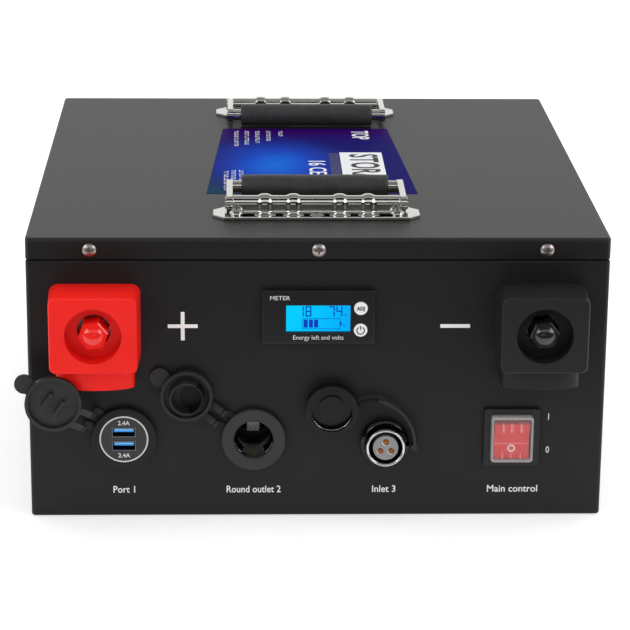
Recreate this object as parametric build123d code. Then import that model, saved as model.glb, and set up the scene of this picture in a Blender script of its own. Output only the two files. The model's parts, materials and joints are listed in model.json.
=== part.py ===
"""Deep cycle battery in a sheet-metal case, with carrying handles and a front panel of outlets.

Millimetres. The origin is the centre of the case's underside, +Z is up and the front panel faces -Y.
Panel pieces are drawn in the panel's own frame: x along the panel, y up it and z out of it.
"""

import os
from math import atan2, cos, degrees, hypot, radians, sin

from build123d import *

# ---- general fits -----------------------------------------------------------
SEAT_FIT = 0.05        # gap round a piece that is fixed in its hole
PASS_FIT = 0.3         # gap round a piece that only passes through
RUN_FIT = 0.08         # radial gap of a pin that turns in its hole
MOVE_GAP = 0.3         # gap between two bodies that pass each other
TOUCH_GAP = 0.1        # gap between two bodies that rest on each other

# ---- case -------------------------------------------------------------------
CASE_W = 320.0
CASE_D = 346.0
CASE_H = 162.0
SHEET = 1.5
CASE_CORNER_R = 2.5
BEND_R = 1.2           # outer radius of the bends at the tray's top and bottom and the lid's top
LID_H = 12.0
SEAM = 0.8             # visible gap under the lid's skirt
LID_FIT = 0.3          # gap between the skirt and the rim inside it
RIM_GAP = 0.5          # gap over the rim
BODY_H = CASE_H - LID_H - SEAM
LID_SCREW_DROP = 7.0
LID_SCREW_INSET = 35.0
LID_SCREW_HEAD_R = 3.75
LID_SCREW_HEAD_H = 1.6
LID_SCREW_R = 1.5
LID_SCREW_LENGTH = 6.0
CROSS_W = 0.9          # width of a cross recess
CROSS_DEPTH = 0.8

# ---- label ------------------------------------------------------------------
LABEL_NEAR_W = 122.6   # the sheet is narrower at its far end
LABEL_FAR_W = 105.0
LABEL_D = 162.0
LABEL_T = 0.2
LABEL_X = -1.0
LABEL_Y = 2.0

# ---- carrying handles -------------------------------------------------------
HANDLE_SETBACK = 49.0  # from the case's front or back to the barrel's axis
PLATE_W = 116.0
PLATE_D = 23.0
PLATE_T = 2.0
PLATE_CORNER = 6.0
PLATE_OUT = 13.4       # from the barrel's axis to the plate's outer edge
BARREL_R = 4.4
BARREL_RISE = 6.6      # the barrel's axis above the lid
BARREL_W = 93.4
PIN_R = 2.5
PIN_HEAD_R = 3.4
PIN_HEAD_T = 0.8
WEB_T = 1.8
RIB_W = 4.6
RIB_H = 1.2
RIB_XS = (-29.0, -13.0, 13.0, 29.0)
ARM_T = 3.4
ARM_R = 4.1
ARM_SIDE_GAP = 0.4
GRIP_REACH = 33.0      # from the barrel's axis to the grip's axis
GRIP_RISE = 7.5        # the grip's axis above the lid, folded
GRIP_ROD_R = 3.5
GRIP_R = 7.0
GRIP_W = 84.0
HANDLE_SCREW_X = 45.0
HANDLE_SCREW_EDGE = 4.8
HANDLE_SCREW_R = 2.0
HANDLE_HEAD_R = 4.0
HANDLE_HEAD_H = 2.6
HANDLE_COLLAR_R = 3.2
HANDLE_COLLAR_H = 1.2
HANDLE_SCREW_LENGTH = 9.0
HANDLE_NUT_AF = 7.0
HANDLE_NUT_T = 3.2

# ---- terminals --------------------------------------------------------------
TERMINAL_INSET = 37.5  # from the case's side
TERMINAL_DROP = 48.5   # below the case's top
COVER_W = 50.0
COVER_H = 45.0
COVER_OUT = 25.0
COVER_TAPER = 2.6
COVER_CORNER_R = 5.0
COVER_EDGE_R = 1.4
COVER_BACK = 3.0
COVER_WALL = 2.4
WELL_R = 15.5
WELL_FLOOR = 13.5      # front of the well's floor
WELL_FLOOR_T = 2.5
WELL_HOLE_R = 9.1
CABLE_SKIRT_W = 43.0
CABLE_SKIRT_STRAIGHT = 8.0
CABLE_SKIRT_OUT = 16.0
CABLE_SKIRT_DROP = 33.8
LUG_ROOM_TOP = 14.0
STUD_R = 4.0
STUD_OUT = 18.5
STUD_BACK = 26.0
STUD_COLLAR_R = 9.0
STUD_COLLAR_T = 3.0
WASHER_R = 8.6
WASHER_T = 1.6
NUT_AF = 14.5
NUT_OUT = 24.0
NUT_DOME_R = 6.1
NUT_DOME_H = 3.2
NUT_TURN = 9.0         # degrees that the nut stands turned at rest
INSULATOR_R = 12.0
INSULATOR_T = 2.5
INSULATOR_SPIGOT_R = 6.5
REAR_NUT_T = 6.0
REAR_LUG_T = 3.0

# ---- meter ------------------------------------------------------------------
METER_DROP = 44.4
METER_W = 62.5
METER_H = 30.8
METER_OUT = 3.0
METER_FACE_T = 1.8
METER_CORNER_R = 1.6
METER_EDGE_R = 0.9
METER_FLANGE = 1.8     # how far the fascia laps over the cut-out
METER_DEPTH = 22.0
METER_WALL = 1.6
LCD_W = 35.3
LCD_H = 15.3
LCD_X = -0.1
LCD_Y = -0.8
LCD_T = 3.0
LCD_BORDER = 1.6
BUTTON_R = 3.75
BUTTON_X = 23.2
BUTTON_YS = (5.2, -7.3)
BUTTON_OUT = 3.7
BUTTON_LIP = 0.7
BUTTON_LIP_T = 0.6
BUTTON_STEM_R = 1.2
BUTTON_TRAVEL = 0.5
BOARD_T = 1.6

# ---- outlets along the lower panel ------------------------------------------
OUTLET_PITCH = 72.0
OUTLET_SHIFT = 0.5
USB_RISE = 46.9
SOCKET_RISE = 46.2
CHARGE_RISE = 44.0
SWITCH_RISE = 47.0
CAP_RING_T = 1.2       # moulded ring clamped under each flange
STRAP_T = 1.0
STRAP_BAND = 3.8
STRAP_EYE_R = 0.6      # round end of the strap's fixed half, on the fold line
STRAP_START = 1.3      # from the fold line to the strap's moving half
STRAP_ROOT = 1.0       # how far the strap starts inside its ring's edge
CAP_CLOSED_OUT = 8.6   # outer face of a closed cap above the panel

USB_FLANGE_R = 18.0
USB_FACE_R = 13.9
USB_FACE_RECESS = 0.5
USB_BARREL_R = 14.3
FLANGE_T = 2.9
USB_BODY_DEPTH = 30.0
PORT_W = 13.3
PORT_H = 5.7
PORT_WALL = 0.4
PORT_PITCH = 8.0
PORT_DEPTH = 12.0
TONGUE_W = 11.0
TONGUE_H = 1.9
TONGUE_DEPTH = 11.0
TONGUE_RISE = 1.0
PRONG_W = 9.6
PRONG_H = 1.8
USB_CAP_R = 15.5
USB_CAP_BORE = 13.75
USB_CAP_REACH = (-37.6, 26.3)
USB_CAP_REST = 16.2    # outer face of the open cap, which leans out past the cable skirt
USB_STRAP_W = 13.0

SOCKET_FLANGE_LIP = 3.75   # flange's edge beyond the barrel
SOCKET_BORE_R = 10.9
SOCKET_SHELL_T = 0.9
SOCKET_SHELL_INSET = 3.2
SOCKET_BARREL_WALL = 2.2   # round the metal liner
SOCKET_DEPTH = 42.0
SOCKET_FLOOR_T = 4.0
SOCKET_LEAD_IN = 0.8
CONTACT_R = 4.4
CONTACT_H = 4.0
CONTACT_WELL_R = 8.0   # narrower room round the contact, behind the liner
CONTACT_WELL_OVER = 1.0
SOCKET_CAP_R = 14.5
SOCKET_CAP_BORE = 12.7
SOCKET_CAP_REACH = (-37.1, 26.0)
SOCKET_CAP_REST = 0.6
SOCKET_STRAP_W = 11.4
PLUG_R = 9.8
PLUG_TIP_R = 9.3
PLUG_BORE = 8.3
PLUG_LENGTH = 7.0

CAP_TAB_R = 5.4
CAP_TAB_REACH = 3.6    # from a cap's rim to its tab's centre
CAP_PLATE_T = 1.8
CAP_EDGE_R = 0.8
CAP_LIP_H = 4.4        # from a cap's outer face to its lip

CHARGE_SHELL_R = 11.25
CHARGE_BORE_R = 9.2
CHARGE_OUT = 11.5
CHARGE_DEPTH = 14.0
CHARGE_COLLAR_R = 14.0
CHARGE_COLLAR_T = 2.8
CHARGE_INSERT_R = 7.0
CHARGE_INSERT_OUT = 10.6
PIN_CONTACT_R = 1.7
PIN_CONTACT_CIRCLE = 3.5
PIN_CONTACT_OUT = 10.9
PIN_CONTACT_BACK = 19.0
CHARGE_CAP_R = 14.5
CHARGE_CAP_BORE = 12.2
CHARGE_CAP_LIP_H = 7.4
CHARGE_CAP_REST = 0.6
CHARGE_CAP_CLOSED = 14.2
CHARGE_CAP_REACH = (-29.9, 20.7)
CHARGE_SEAL_R = 7.2
CHARGE_SEAL_H = 3.0
TETHER_R = 1.1
TETHER_OUT = 5.6
TETHER_POST_TURN = 210.0  # where its post stands round the collar, from the cap's side
TETHER_POST_GAP = 1.2
TETHER_SIDE = -19.0    # where the tether crosses the fold line, across it
TETHER_CAP_X = -10.4   # where it joins the cap, from the cap's centre
TETHER_CAP_SIDE = -9.6
TETHER_BOW = -6.2
TETHER_CAP_BOW = -1.6
TETHER_SPLIT = 0.3     # gap between its two lengths at the fold

PANEL_NUT_T = 5.0
PANEL_NUT_RIM = 3.4    # how far a panel nut stands past its barrel
PANEL_NUT_FLUTES = 24

# ---- power switch -----------------------------------------------------------
SWITCH_FLANGE_W = 31.2
SWITCH_FLANGE_H = 34.0
SWITCH_FLANGE_T = 2.5
SWITCH_BODY_W = 27.0
SWITCH_BODY_H = 30.0
SWITCH_DEPTH = 18.0
SWITCH_CORNER_R = 1.5
SWITCH_EDGE_R = 0.7
ROCKER_W = 19.5
ROCKER_H = 23.2
ROCKER_GAP = 0.4
ROCKER_TIP_OUT = 4.2
ROCKER_WAIST_OUT = 2.4
ROCKER_AXIS_OUT = -2.0
ROCKER_FOOT_R = 3.2
ROCKER_PIN_R = 1.5
ROCKER_PIN_LENGTH = 1.6
ROCKER_TILT = 8.0      # each way from level
BOOT_W = 23.6
BOOT_H = 27.0
BOOT_OUT = 7.4
BOOT_WALL = 0.8
BOOT_SEAT = 1.2
BLADE_W = 4.8
BLADE_T = 0.8
BLADE_LENGTH = 10.0
BLADE_YS = (-9.0, 0.0, 9.0)

# ---- inside -----------------------------------------------------------------
CELL_W = 148.0
CELL_T = 26.7
CELL_H = 130.0
CELL_ROWS = 8
CELL_GAP = 0.4
CELL_REAR_GAP = 4.0
POST_R = 3.0
POST_H = 7.0
POST_INSET = 24.0
BUSBAR_W = 16.0
BUSBAR_T = 2.0
BUSBAR_NUT_AF = 8.0
BUSBAR_NUT_T = 3.0
SHEET_OVER_CELLS_T = 0.6
HEATSINK_W = 180.0
HEATSINK_H = 96.0
HEATSINK_BASE = 4.0
HEATSINK_FIN_T = 1.6
HEATSINK_FIN_OUT = 12.0
HEATSINK_FINS = 12
HEATSINK_GAP = 8.0     # between the fins and the cells
BMS_W = 172.0
BMS_H = 84.0
BMS_PART_T = 5.0
CABLE_R = 5.0
LUG_R = 9.0

# ---- places worked out from the sizes above ---------------------------------
FRONT = -CASE_D / 2
PANEL = Plane(origin=(0, FRONT, 0), x_dir=(1, 0, 0), z_dir=(0, -1, 0)).location
TERMINAL_X = CASE_W / 2 - TERMINAL_INSET
TERMINAL_Y = CASE_H - TERMINAL_DROP
METER_Y = CASE_H - METER_DROP
USB_AT = (OUTLET_SHIFT - 1.5 * OUTLET_PITCH, USB_RISE)
SOCKET_AT = (OUTLET_SHIFT - 0.5 * OUTLET_PITCH, SOCKET_RISE)
CHARGE_AT = (OUTLET_SHIFT + 0.5 * OUTLET_PITCH + 1.2, CHARGE_RISE)
SWITCH_AT = (OUTLET_SHIFT + 1.5 * OUTLET_PITCH, SWITCH_RISE)
FLANGE_OUT = CAP_RING_T + FLANGE_T
SOCKET_BARREL_R = SOCKET_BORE_R + SOCKET_SHELL_T + SOCKET_BARREL_WALL
SOCKET_FLANGE_R = SOCKET_BARREL_R + SOCKET_FLANGE_LIP
SOCKET_FLOOR = SOCKET_FLOOR_T - SOCKET_DEPTH
LINER_BACK = SOCKET_FLOOR + CONTACT_H + CONTACT_WELL_OVER
BARREL_Y = CASE_D / 2 - HANDLE_SETBACK
BARREL_Z = CASE_H + BARREL_RISE
GRIP_Z = CASE_H + GRIP_RISE
NUT_BACK = COVER_BACK + STUD_COLLAR_T + WASHER_T


# ---- small helpers ----------------------------------------------------------
def disc(radius, start, end, x=0.0, y=0.0):
    """A round bar along z from start to end."""
    return Pos(x, y, start) * Cylinder(radius, end - start, align=(Align.CENTER, Align.CENTER, Align.MIN))


def pipe(outer, inner, start, end):
    """A round bar with a round hole right through it."""
    return disc(outer, start, end) - disc(inner, start - 1, end + 1)


def block(width, height, start, end, corner=0.0):
    """An upright slab, width by height, from start to end along z."""
    outline = RectangleRounded(width, height, corner) if corner else Rectangle(width, height)
    return Pos(0, 0, start) * extrude(outline, amount=end - start)


def span(x_range, y_range, z_range):
    """A box between two corners."""
    low = (x_range[0], y_range[0], z_range[0])
    size = (x_range[1] - x_range[0], y_range[1] - y_range[0], z_range[1] - z_range[0])
    return Pos(*low) * Box(*size, align=(Align.MIN, Align.MIN, Align.MIN))


def hexagon(across_flats, start, end, turn=0.0):
    """A hexagonal bar along z."""
    outline = RegularPolygon(across_flats / 2, 6, major_radius=False)
    return Pos(0, 0, start) * Rot(0, 0, turn) * extrude(outline, amount=end - start)


def bar_x(radius, start, end, y, z):
    """A round bar along X."""
    return Pos(start, y, z) * Rot(0, 90, 0) * disc(radius, 0, end - start)


def group(*shapes):
    """Separate solids kept together as one node."""
    return Compound([solid for shape in shapes for solid in shape.solids()])


def on_panel(place, shape):
    """Put a shape drawn in the panel's frame at (x, y) on the front panel."""
    return PANEL * Pos(place[0], place[1], 0) * shape


def mirror_rear(shape):
    """The same shape for the rear handle, turned half a turn about Z."""
    return Rot(0, 0, 180) * shape


def cross_head(head_r, head_h, shank_r, length):
    """A domed screw along z, its head's underside at 0, with a cross recess."""
    dome_r = (head_r**2 + head_h**2) / (2 * head_h)
    head = disc(head_r, 0, head_h) & Pos(0, 0, head_h - dome_r) * Sphere(dome_r)
    recess = block(head_r * 1.1, CROSS_W, head_h - CROSS_DEPTH, head_h + 1)
    head = head - recess - Rot(0, 0, 90) * recess
    return head + disc(shank_r, -length, 0)


# ---- case -------------------------------------------------------------------
def panel_cutouts():
    """Holes in the front panel for everything that goes through it."""
    def hole(place, radius):
        return on_panel(place, disc(radius, -SHEET - 1, 1))

    meter_w = METER_W - 2 * METER_FLANGE
    meter_h = METER_H - 2 * METER_FLANGE
    yield on_panel((0, METER_Y), block(meter_w, meter_h, -SHEET - 1, 1))
    yield hole(USB_AT, USB_BARREL_R + PASS_FIT)
    yield hole(SOCKET_AT, SOCKET_BARREL_R + PASS_FIT)
    yield hole(CHARGE_AT, CHARGE_SHELL_R + PASS_FIT)
    switch = block(SWITCH_BODY_W + 2 * PASS_FIT, SWITCH_BODY_H + 2 * PASS_FIT, -SHEET - 1, 1)
    yield on_panel(SWITCH_AT, switch)
    for side in (-1, 1):
        yield hole((side * TERMINAL_X, TERMINAL_Y), INSULATOR_SPIGOT_R + SEAT_FIT)


def lid_screw_places():
    """Location of each lid screw, its z axis pointing out of the skirt."""
    height = CASE_H - LID_SCREW_DROP
    across = CASE_W / 2 - LID_SCREW_INSET
    along = CASE_D / 2 - LID_SCREW_INSET
    for x in (-across, 0, across):
        yield Plane(origin=(x, FRONT, height), x_dir=(1, 0, 0), z_dir=(0, -1, 0)).location
        yield Plane(origin=(x, -FRONT, height), x_dir=(-1, 0, 0), z_dir=(0, 1, 0)).location
    for y in (-along, along):
        yield Plane(origin=(CASE_W / 2, y, height), x_dir=(0, 1, 0), z_dir=(1, 0, 0)).location
        yield Plane(origin=(-CASE_W / 2, y, height), x_dir=(0, -1, 0), z_dir=(-1, 0, 0)).location


def screw_holes(radius):
    """Bars that cut the lid screws' holes."""
    return [place * disc(radius, -LID_SCREW_LENGTH - 1, 1) for place in lid_screw_places()]


def case_body():
    """Folded tray with a ledge and a rim that the lid's skirt goes over."""
    inset = SHEET + LID_FIT
    rim_top = CASE_H - SHEET - RIM_GAP
    rim_w = CASE_W - 2 * inset
    rim_d = CASE_D - 2 * inset
    body = block(CASE_W, CASE_D, 0, BODY_H, CASE_CORNER_R)
    body = fillet(body.edges().group_by(Axis.Z)[-1] + body.edges().group_by(Axis.Z)[0], BEND_R)
    body += block(rim_w, rim_d, BODY_H - SHEET, rim_top, CASE_CORNER_R)
    body -= block(CASE_W - 2 * SHEET, CASE_D - 2 * SHEET, SHEET, BODY_H - SHEET, CASE_CORNER_R - SHEET / 2)
    body -= block(rim_w - 2 * SHEET, rim_d - 2 * SHEET, BODY_H - SHEET - 1, CASE_H, CASE_CORNER_R - SHEET / 2)
    for hole in (*panel_cutouts(), *screw_holes(LID_SCREW_R + SEAT_FIT)):
        body -= hole
    return body


def case_lid():
    """Folded lid with a skirt, and holes for the handles' screws."""
    lid = block(CASE_W, CASE_D, CASE_H - LID_H, CASE_H, CASE_CORNER_R)
    lid = fillet(lid.edges().group_by(Axis.Z)[-1], BEND_R)
    inner = block(CASE_W - 2 * SHEET, CASE_D - 2 * SHEET, 0, CASE_H - SHEET, CASE_CORNER_R - SHEET / 2)
    lid -= inner
    for hole in screw_holes(LID_SCREW_R + SEAT_FIT):
        lid -= hole
    for x, y in handle_screw_places():
        lid -= disc(HANDLE_SCREW_R + SEAT_FIT, CASE_H - SHEET - 1, CASE_H + 1, x, y)
    return lid


def lid_screws():
    screw = cross_head(LID_SCREW_HEAD_R, LID_SCREW_HEAD_H, LID_SCREW_R, LID_SCREW_LENGTH)
    return group(*[place * screw for place in lid_screw_places()])


def top_label():
    """Printed sheet on the lid between the handles."""
    near, far, half = LABEL_NEAR_W / 2, LABEL_FAR_W / 2, LABEL_D / 2
    outline = Polygon((-near, -half), (near, -half), (far, half), (-far, half), align=None)
    return Pos(LABEL_X, LABEL_Y, CASE_H) * extrude(outline, amount=LABEL_T)


# ---- carrying handles, drawn at the front and turned for the rear -----------
def handle_screw_places():
    """(x, y) of every screw that holds a handle's plate."""
    reach = BARREL_Y + PLATE_OUT - HANDLE_SCREW_EDGE
    for side in (-1, 1):
        for x in (-HANDLE_SCREW_X, 0, HANDLE_SCREW_X):
            yield x, side * reach


def handle_plate():
    """Base plate with a rolled barrel, a bent web and four pressed ribs."""
    outer = -BARREL_Y - PLATE_OUT
    outline = Pos(0, outer + PLATE_D / 2) * Rectangle(PLATE_W, PLATE_D)
    outline = chamfer(outline.vertices(), PLATE_CORNER)
    plate = Pos(0, 0, CASE_H) * extrude(outline, amount=PLATE_T)
    half = BARREL_W / 2
    web_y = -BARREL_Y - BARREL_R
    plate += bar_x(BARREL_R, -half, half, -BARREL_Y, BARREL_Z)
    plate += span((-half, half), (web_y, web_y + WEB_T), (CASE_H, BARREL_Z))
    for x in RIB_XS:
        plate += bar_x(BARREL_R + RIB_H, x - RIB_W / 2, x + RIB_W / 2, -BARREL_Y, BARREL_Z)
        foot = span((x - RIB_W / 2, x + RIB_W / 2), (outer + 3, web_y + WEB_T), (CASE_H, CASE_H + PLATE_T + RIB_H))
        plate += foot
    plate -= bar_x(PIN_R + SEAT_FIT, -half - 1, half + 1, -BARREL_Y, BARREL_Z)
    for x, y in handle_screw_places():
        if y < 0:
            plate -= disc(HANDLE_SCREW_R + SEAT_FIT, CASE_H - 1, CASE_H + PLATE_T + RIB_H + 1, x, y)
    return plate


def handle_bail():
    """Two arms and the rod between them, folded inwards."""
    inner = BARREL_W / 2 + ARM_SIDE_GAP
    reach = hypot(GRIP_REACH, GRIP_RISE - BARREL_RISE)
    slope = degrees(atan2(GRIP_RISE - BARREL_RISE, GRIP_REACH))
    outline = Pos(reach / 2, 0) * SlotOverall(reach + 2 * ARM_R, 2 * ARM_R)
    arm = extrude(outline, amount=ARM_T) - disc(PIN_R + RUN_FIT, -1, ARM_T + 1)
    # local x runs along +Y and local z along +X
    to_side = Plane(origin=(0, -BARREL_Y, BARREL_Z), x_dir=(0, 1, 0), z_dir=(1, 0, 0)).location
    arm = to_side * Rot(0, 0, slope) * arm
    bail = Pos(inner, 0, 0) * arm + Pos(-inner - ARM_T, 0, 0) * arm
    bail += bar_x(GRIP_ROD_R, -inner - 0.5, inner + 0.5, GRIP_REACH - BARREL_Y, GRIP_Z)
    return bail


def handle_grip():
    """Soft sleeve on the bail's rod."""
    half = GRIP_W / 2
    y = GRIP_REACH - BARREL_Y
    grip = bar_x(GRIP_R, -half, half, y, GRIP_Z)
    grip = fillet(grip.edges().filter_by(GeomType.CIRCLE), 1.2)
    return grip - bar_x(GRIP_ROD_R + SEAT_FIT, -half - 1, half + 1, y, GRIP_Z)


def handle_pin():
    """Riveted pin through the barrel and both arms."""
    half = BARREL_W / 2 + ARM_SIDE_GAP + ARM_T + TOUCH_GAP
    pin = bar_x(PIN_R, -half, half, -BARREL_Y, BARREL_Z)
    for start in (-half - PIN_HEAD_T, half):
        pin += bar_x(PIN_HEAD_R, start, start + PIN_HEAD_T, -BARREL_Y, BARREL_Z)
    return pin


def handle_screws():
    screw = cross_head(HANDLE_HEAD_R, HANDLE_HEAD_H, HANDLE_SCREW_R, HANDLE_SCREW_LENGTH)
    screw = Pos(0, 0, HANDLE_COLLAR_H) * screw + disc(HANDLE_COLLAR_R, 0, HANDLE_COLLAR_H)
    low = cross_head(HANDLE_HEAD_R, HANDLE_COLLAR_H, HANDLE_SCREW_R, HANDLE_SCREW_LENGTH)
    top = CASE_H + PLATE_T
    return group(*[Pos(x, y, top) * (screw if x else low) for x, y in handle_screw_places()])


def handle_nuts():
    under = CASE_H - SHEET
    nut = hexagon(HANDLE_NUT_AF, under - HANDLE_NUT_T, under) - disc(HANDLE_SCREW_R + SEAT_FIT, 0, CASE_H)
    return group(*[Pos(x, y, 0) * nut for x, y in handle_screw_places()])


# ---- terminals --------------------------------------------------------------
def skirt_outline(gap):
    """D-shaped section of the cable skirt, gap inside its wall: x across and y out of the panel."""
    half = CABLE_SKIRT_W / 2 - gap
    bulge = CABLE_SKIRT_OUT - CABLE_SKIRT_STRAIGHT - gap
    start = COVER_BACK if gap else 0.0
    straight = CABLE_SKIRT_STRAIGHT - start
    outline = Pos(0, start + straight / 2) * Rectangle(2 * half, straight)
    return outline + Pos(0, CABLE_SKIRT_STRAIGHT) * Ellipse(half, bulge)


def hang(outline, length):
    """Extrude an (x, out) outline down the panel from its own height."""
    return Rot(90, 0, 0) * extrude(outline, amount=length)


def terminal_housing():
    """Moulded cover round the terminal, with a wrench well and a skirt for the cable."""
    cover = extrude(RectangleRounded(COVER_W, COVER_H, COVER_CORNER_R), amount=COVER_OUT, taper=COVER_TAPER)
    cover = fillet(cover.edges().group_by(Axis.Z)[-1], COVER_EDGE_R)
    cover += hang(skirt_outline(0), CABLE_SKIRT_DROP)
    lug_front = WELL_FLOOR - WELL_FLOOR_T
    lug_w = CABLE_SKIRT_W - 2 * COVER_WALL
    cover -= span((-lug_w / 2, lug_w / 2), (-COVER_H / 2 + 2, LUG_ROOM_TOP), (COVER_BACK, lug_front))
    cover -= hang(skirt_outline(COVER_WALL), CABLE_SKIRT_DROP + 1) & block(COVER_W, 400, 0, lug_front)
    below = span((-COVER_W, COVER_W), (-CABLE_SKIRT_DROP - 2, -COVER_H / 2 + 2), (0, COVER_OUT))
    cover -= hang(skirt_outline(COVER_WALL), CABLE_SKIRT_DROP + 1) & below
    cover -= disc(WELL_R, WELL_FLOOR, COVER_OUT + 1)
    cover -= disc(WELL_HOLE_R, lug_front - 1, WELL_FLOOR + 1)
    cover -= disc(STUD_R + PASS_FIT, -1, COVER_BACK + 1)
    return cover


def terminal_stud():
    """Threaded stud with a collar that clamps the cover to the panel."""
    stud = disc(STUD_R, -STUD_BACK, STUD_OUT)
    return stud + disc(STUD_COLLAR_R, COVER_BACK, COVER_BACK + STUD_COLLAR_T)


def terminal_washer():
    return pipe(WASHER_R, STUD_R + MOVE_GAP, NUT_BACK - WASHER_T, NUT_BACK)


def terminal_nut():
    """Domed hexagon nut that clamps the cable's lug."""
    dome_r = (NUT_DOME_R**2 + NUT_DOME_H**2) / (2 * NUT_DOME_H)
    nut = hexagon(NUT_AF, NUT_BACK, NUT_OUT, NUT_TURN)
    nut = chamfer(nut.edges().group_by(Axis.Z)[-1], 0.6)
    cap = Pos(0, 0, NUT_OUT + NUT_DOME_H - dome_r) * Sphere(dome_r)
    nut += cap & disc(NUT_DOME_R, NUT_OUT - 1, NUT_OUT + NUT_DOME_H + 1)
    return nut - disc(STUD_R + RUN_FIT, NUT_BACK - 1, STUD_OUT + 1)


def terminal_insulator():
    """Bush that keeps the stud off the metal panel."""
    bush = disc(INSULATOR_SPIGOT_R, -SHEET, 0) + disc(INSULATOR_R, -SHEET - INSULATOR_T, -SHEET)
    return bush - disc(STUD_R + SEAT_FIT, -SHEET - INSULATOR_T - 1, 1)


def terminal_rear_nuts():
    """Two nuts on the stud behind the panel, with the inner cable's lug between them."""
    back = -SHEET - INSULATOR_T
    bore = disc(STUD_R + SEAT_FIT, -2 * STUD_BACK, 0)
    first = hexagon(NUT_AF, back - REAR_NUT_T, back) - bore
    second_front = back - REAR_NUT_T - REAR_LUG_T
    second = hexagon(NUT_AF, second_front - REAR_NUT_T, second_front) - bore
    return group(first, second)


def at_terminals(shape):
    """A copy of a shape at each terminal."""
    return group(*[on_panel((side * TERMINAL_X, TERMINAL_Y), shape) for side in (-1, 1)])


# ---- meter ------------------------------------------------------------------
def meter_fascia():
    """Front frame with a window and two round button holes."""
    fascia = block(METER_W, METER_H, 0, METER_OUT, METER_CORNER_R)
    fascia = fillet(fascia.edges().group_by(Axis.Z)[-1], METER_EDGE_R)
    room_w = METER_W - 2 * METER_FLANGE - 2 * METER_WALL
    room_h = METER_H - 2 * METER_FLANGE - 2 * METER_WALL
    fascia -= block(room_w, room_h, -1, METER_OUT - METER_FACE_T)
    fascia -= Pos(LCD_X, LCD_Y, 0) * block(LCD_W, LCD_H, -1, METER_OUT + 1)
    for y in BUTTON_YS:
        fascia -= disc(BUTTON_R + MOVE_GAP, -1, METER_OUT + 1, BUTTON_X, y)
    return fascia


def meter_housing():
    """Open-fronted box behind the panel, closed at its back."""
    outer_w = METER_W - 2 * METER_FLANGE - 2 * PASS_FIT
    outer_h = METER_H - 2 * METER_FLANGE - 2 * PASS_FIT
    wall = METER_WALL - PASS_FIT
    shell = block(outer_w, outer_h, -METER_DEPTH, 0)
    return shell - block(outer_w - 2 * wall, outer_h - 2 * wall, -METER_DEPTH + wall, 1)


def meter_lcd():
    """Glass of the display, just behind the window."""
    front = METER_OUT - METER_FACE_T
    glass = block(LCD_W + LCD_BORDER, LCD_H + LCD_BORDER, front - LCD_T, front)
    return Pos(LCD_X, LCD_Y, 0) * glass


def meter_button(y):
    """Round button with a lip that holds it behind the fascia and a stem to its switch."""
    lip_front = METER_OUT - METER_FACE_T - TOUCH_GAP
    lip_back = lip_front - BUTTON_LIP_T
    stem_back = METER_OUT - METER_FACE_T - LCD_T + BUTTON_TRAVEL
    cap = disc(BUTTON_R, lip_back, BUTTON_OUT)
    cap = fillet(cap.edges().group_by(Axis.Z)[-1], 0.6)
    cap += disc(BUTTON_R + BUTTON_LIP, lip_back, lip_front)
    return Pos(BUTTON_X, y, 0) * (cap + disc(BUTTON_STEM_R, stem_back, lip_back))


def meter_board():
    """Circuit board behind the display, with a switch under each button."""
    front = METER_OUT - METER_FACE_T - LCD_T - TOUCH_GAP
    width = METER_W - 2 * METER_FLANGE - 2 * METER_WALL - 1
    height = METER_H - 2 * METER_FLANGE - 2 * METER_WALL - 1
    return block(width, height, front - BOARD_T, front)


# ---- caps: drawn open, socket at the origin and the cap's centre along +x ----
def cap_fold(reach):
    """Distance from a socket's centre to its strap's fold."""
    return hypot(*reach) / 2


def place_cap(socket_at, reach, shape):
    """Turn a cap drawn along +x to its real direction and put it at its socket."""
    turn = degrees(atan2(reach[1], reach[0]))
    return on_panel(socket_at, Rot(0, 0, turn) * shape)


def cap_axis_out(rest, closed=CAP_CLOSED_OUT):
    """Height of the fold above the panel, midway between the cap's open and closed places."""
    return (rest + closed) / 2


def strap(line, width):
    """Two flat bands that follow a line drawn in (x, out)."""
    band = Rot(90, 0, 0) * extrude(trace(line, line_width=STRAP_T), amount=STRAP_BAND / 2, both=True)
    middle = (width - STRAP_BAND) / 2
    return Pos(0, -middle, 0) * band, Pos(0, middle, 0) * band


def cap_tab(cap_r):
    """Finger tab past the cap's rim, away from the socket."""
    tab_x = cap_r + CAP_TAB_REACH
    tab = disc(CAP_TAB_R, 0, CAP_PLATE_T, tab_x)
    return tab + span((0, tab_x), (-CAP_TAB_R * 0.8, CAP_TAB_R * 0.8), (0, CAP_PLATE_T))


def cap_ring(barrel_r, flange_r, reach, rest, width):
    """Ring clamped under a flange, with the fixed half of the strap."""
    fold = cap_fold(reach)
    root = (flange_r - STRAP_ROOT, STRAP_T / 2)
    line = TangentArc(root, (fold, cap_axis_out(rest)), tangent=(1, 0))
    ring = disc(flange_r - 0.4, 0, CAP_RING_T)
    eye = Rot(90, 0, 0) * Pos(fold, cap_axis_out(rest), -STRAP_BAND / 2) * disc(STRAP_EYE_R, 0, STRAP_BAND)
    for side, band in zip((-1, 1), strap(line, width)):
        ring += band + Pos(0, side * (width - STRAP_BAND) / 2, 0) * eye
    return ring - disc(barrel_r + SEAT_FIT, -1, CAP_RING_T + 1)


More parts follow.
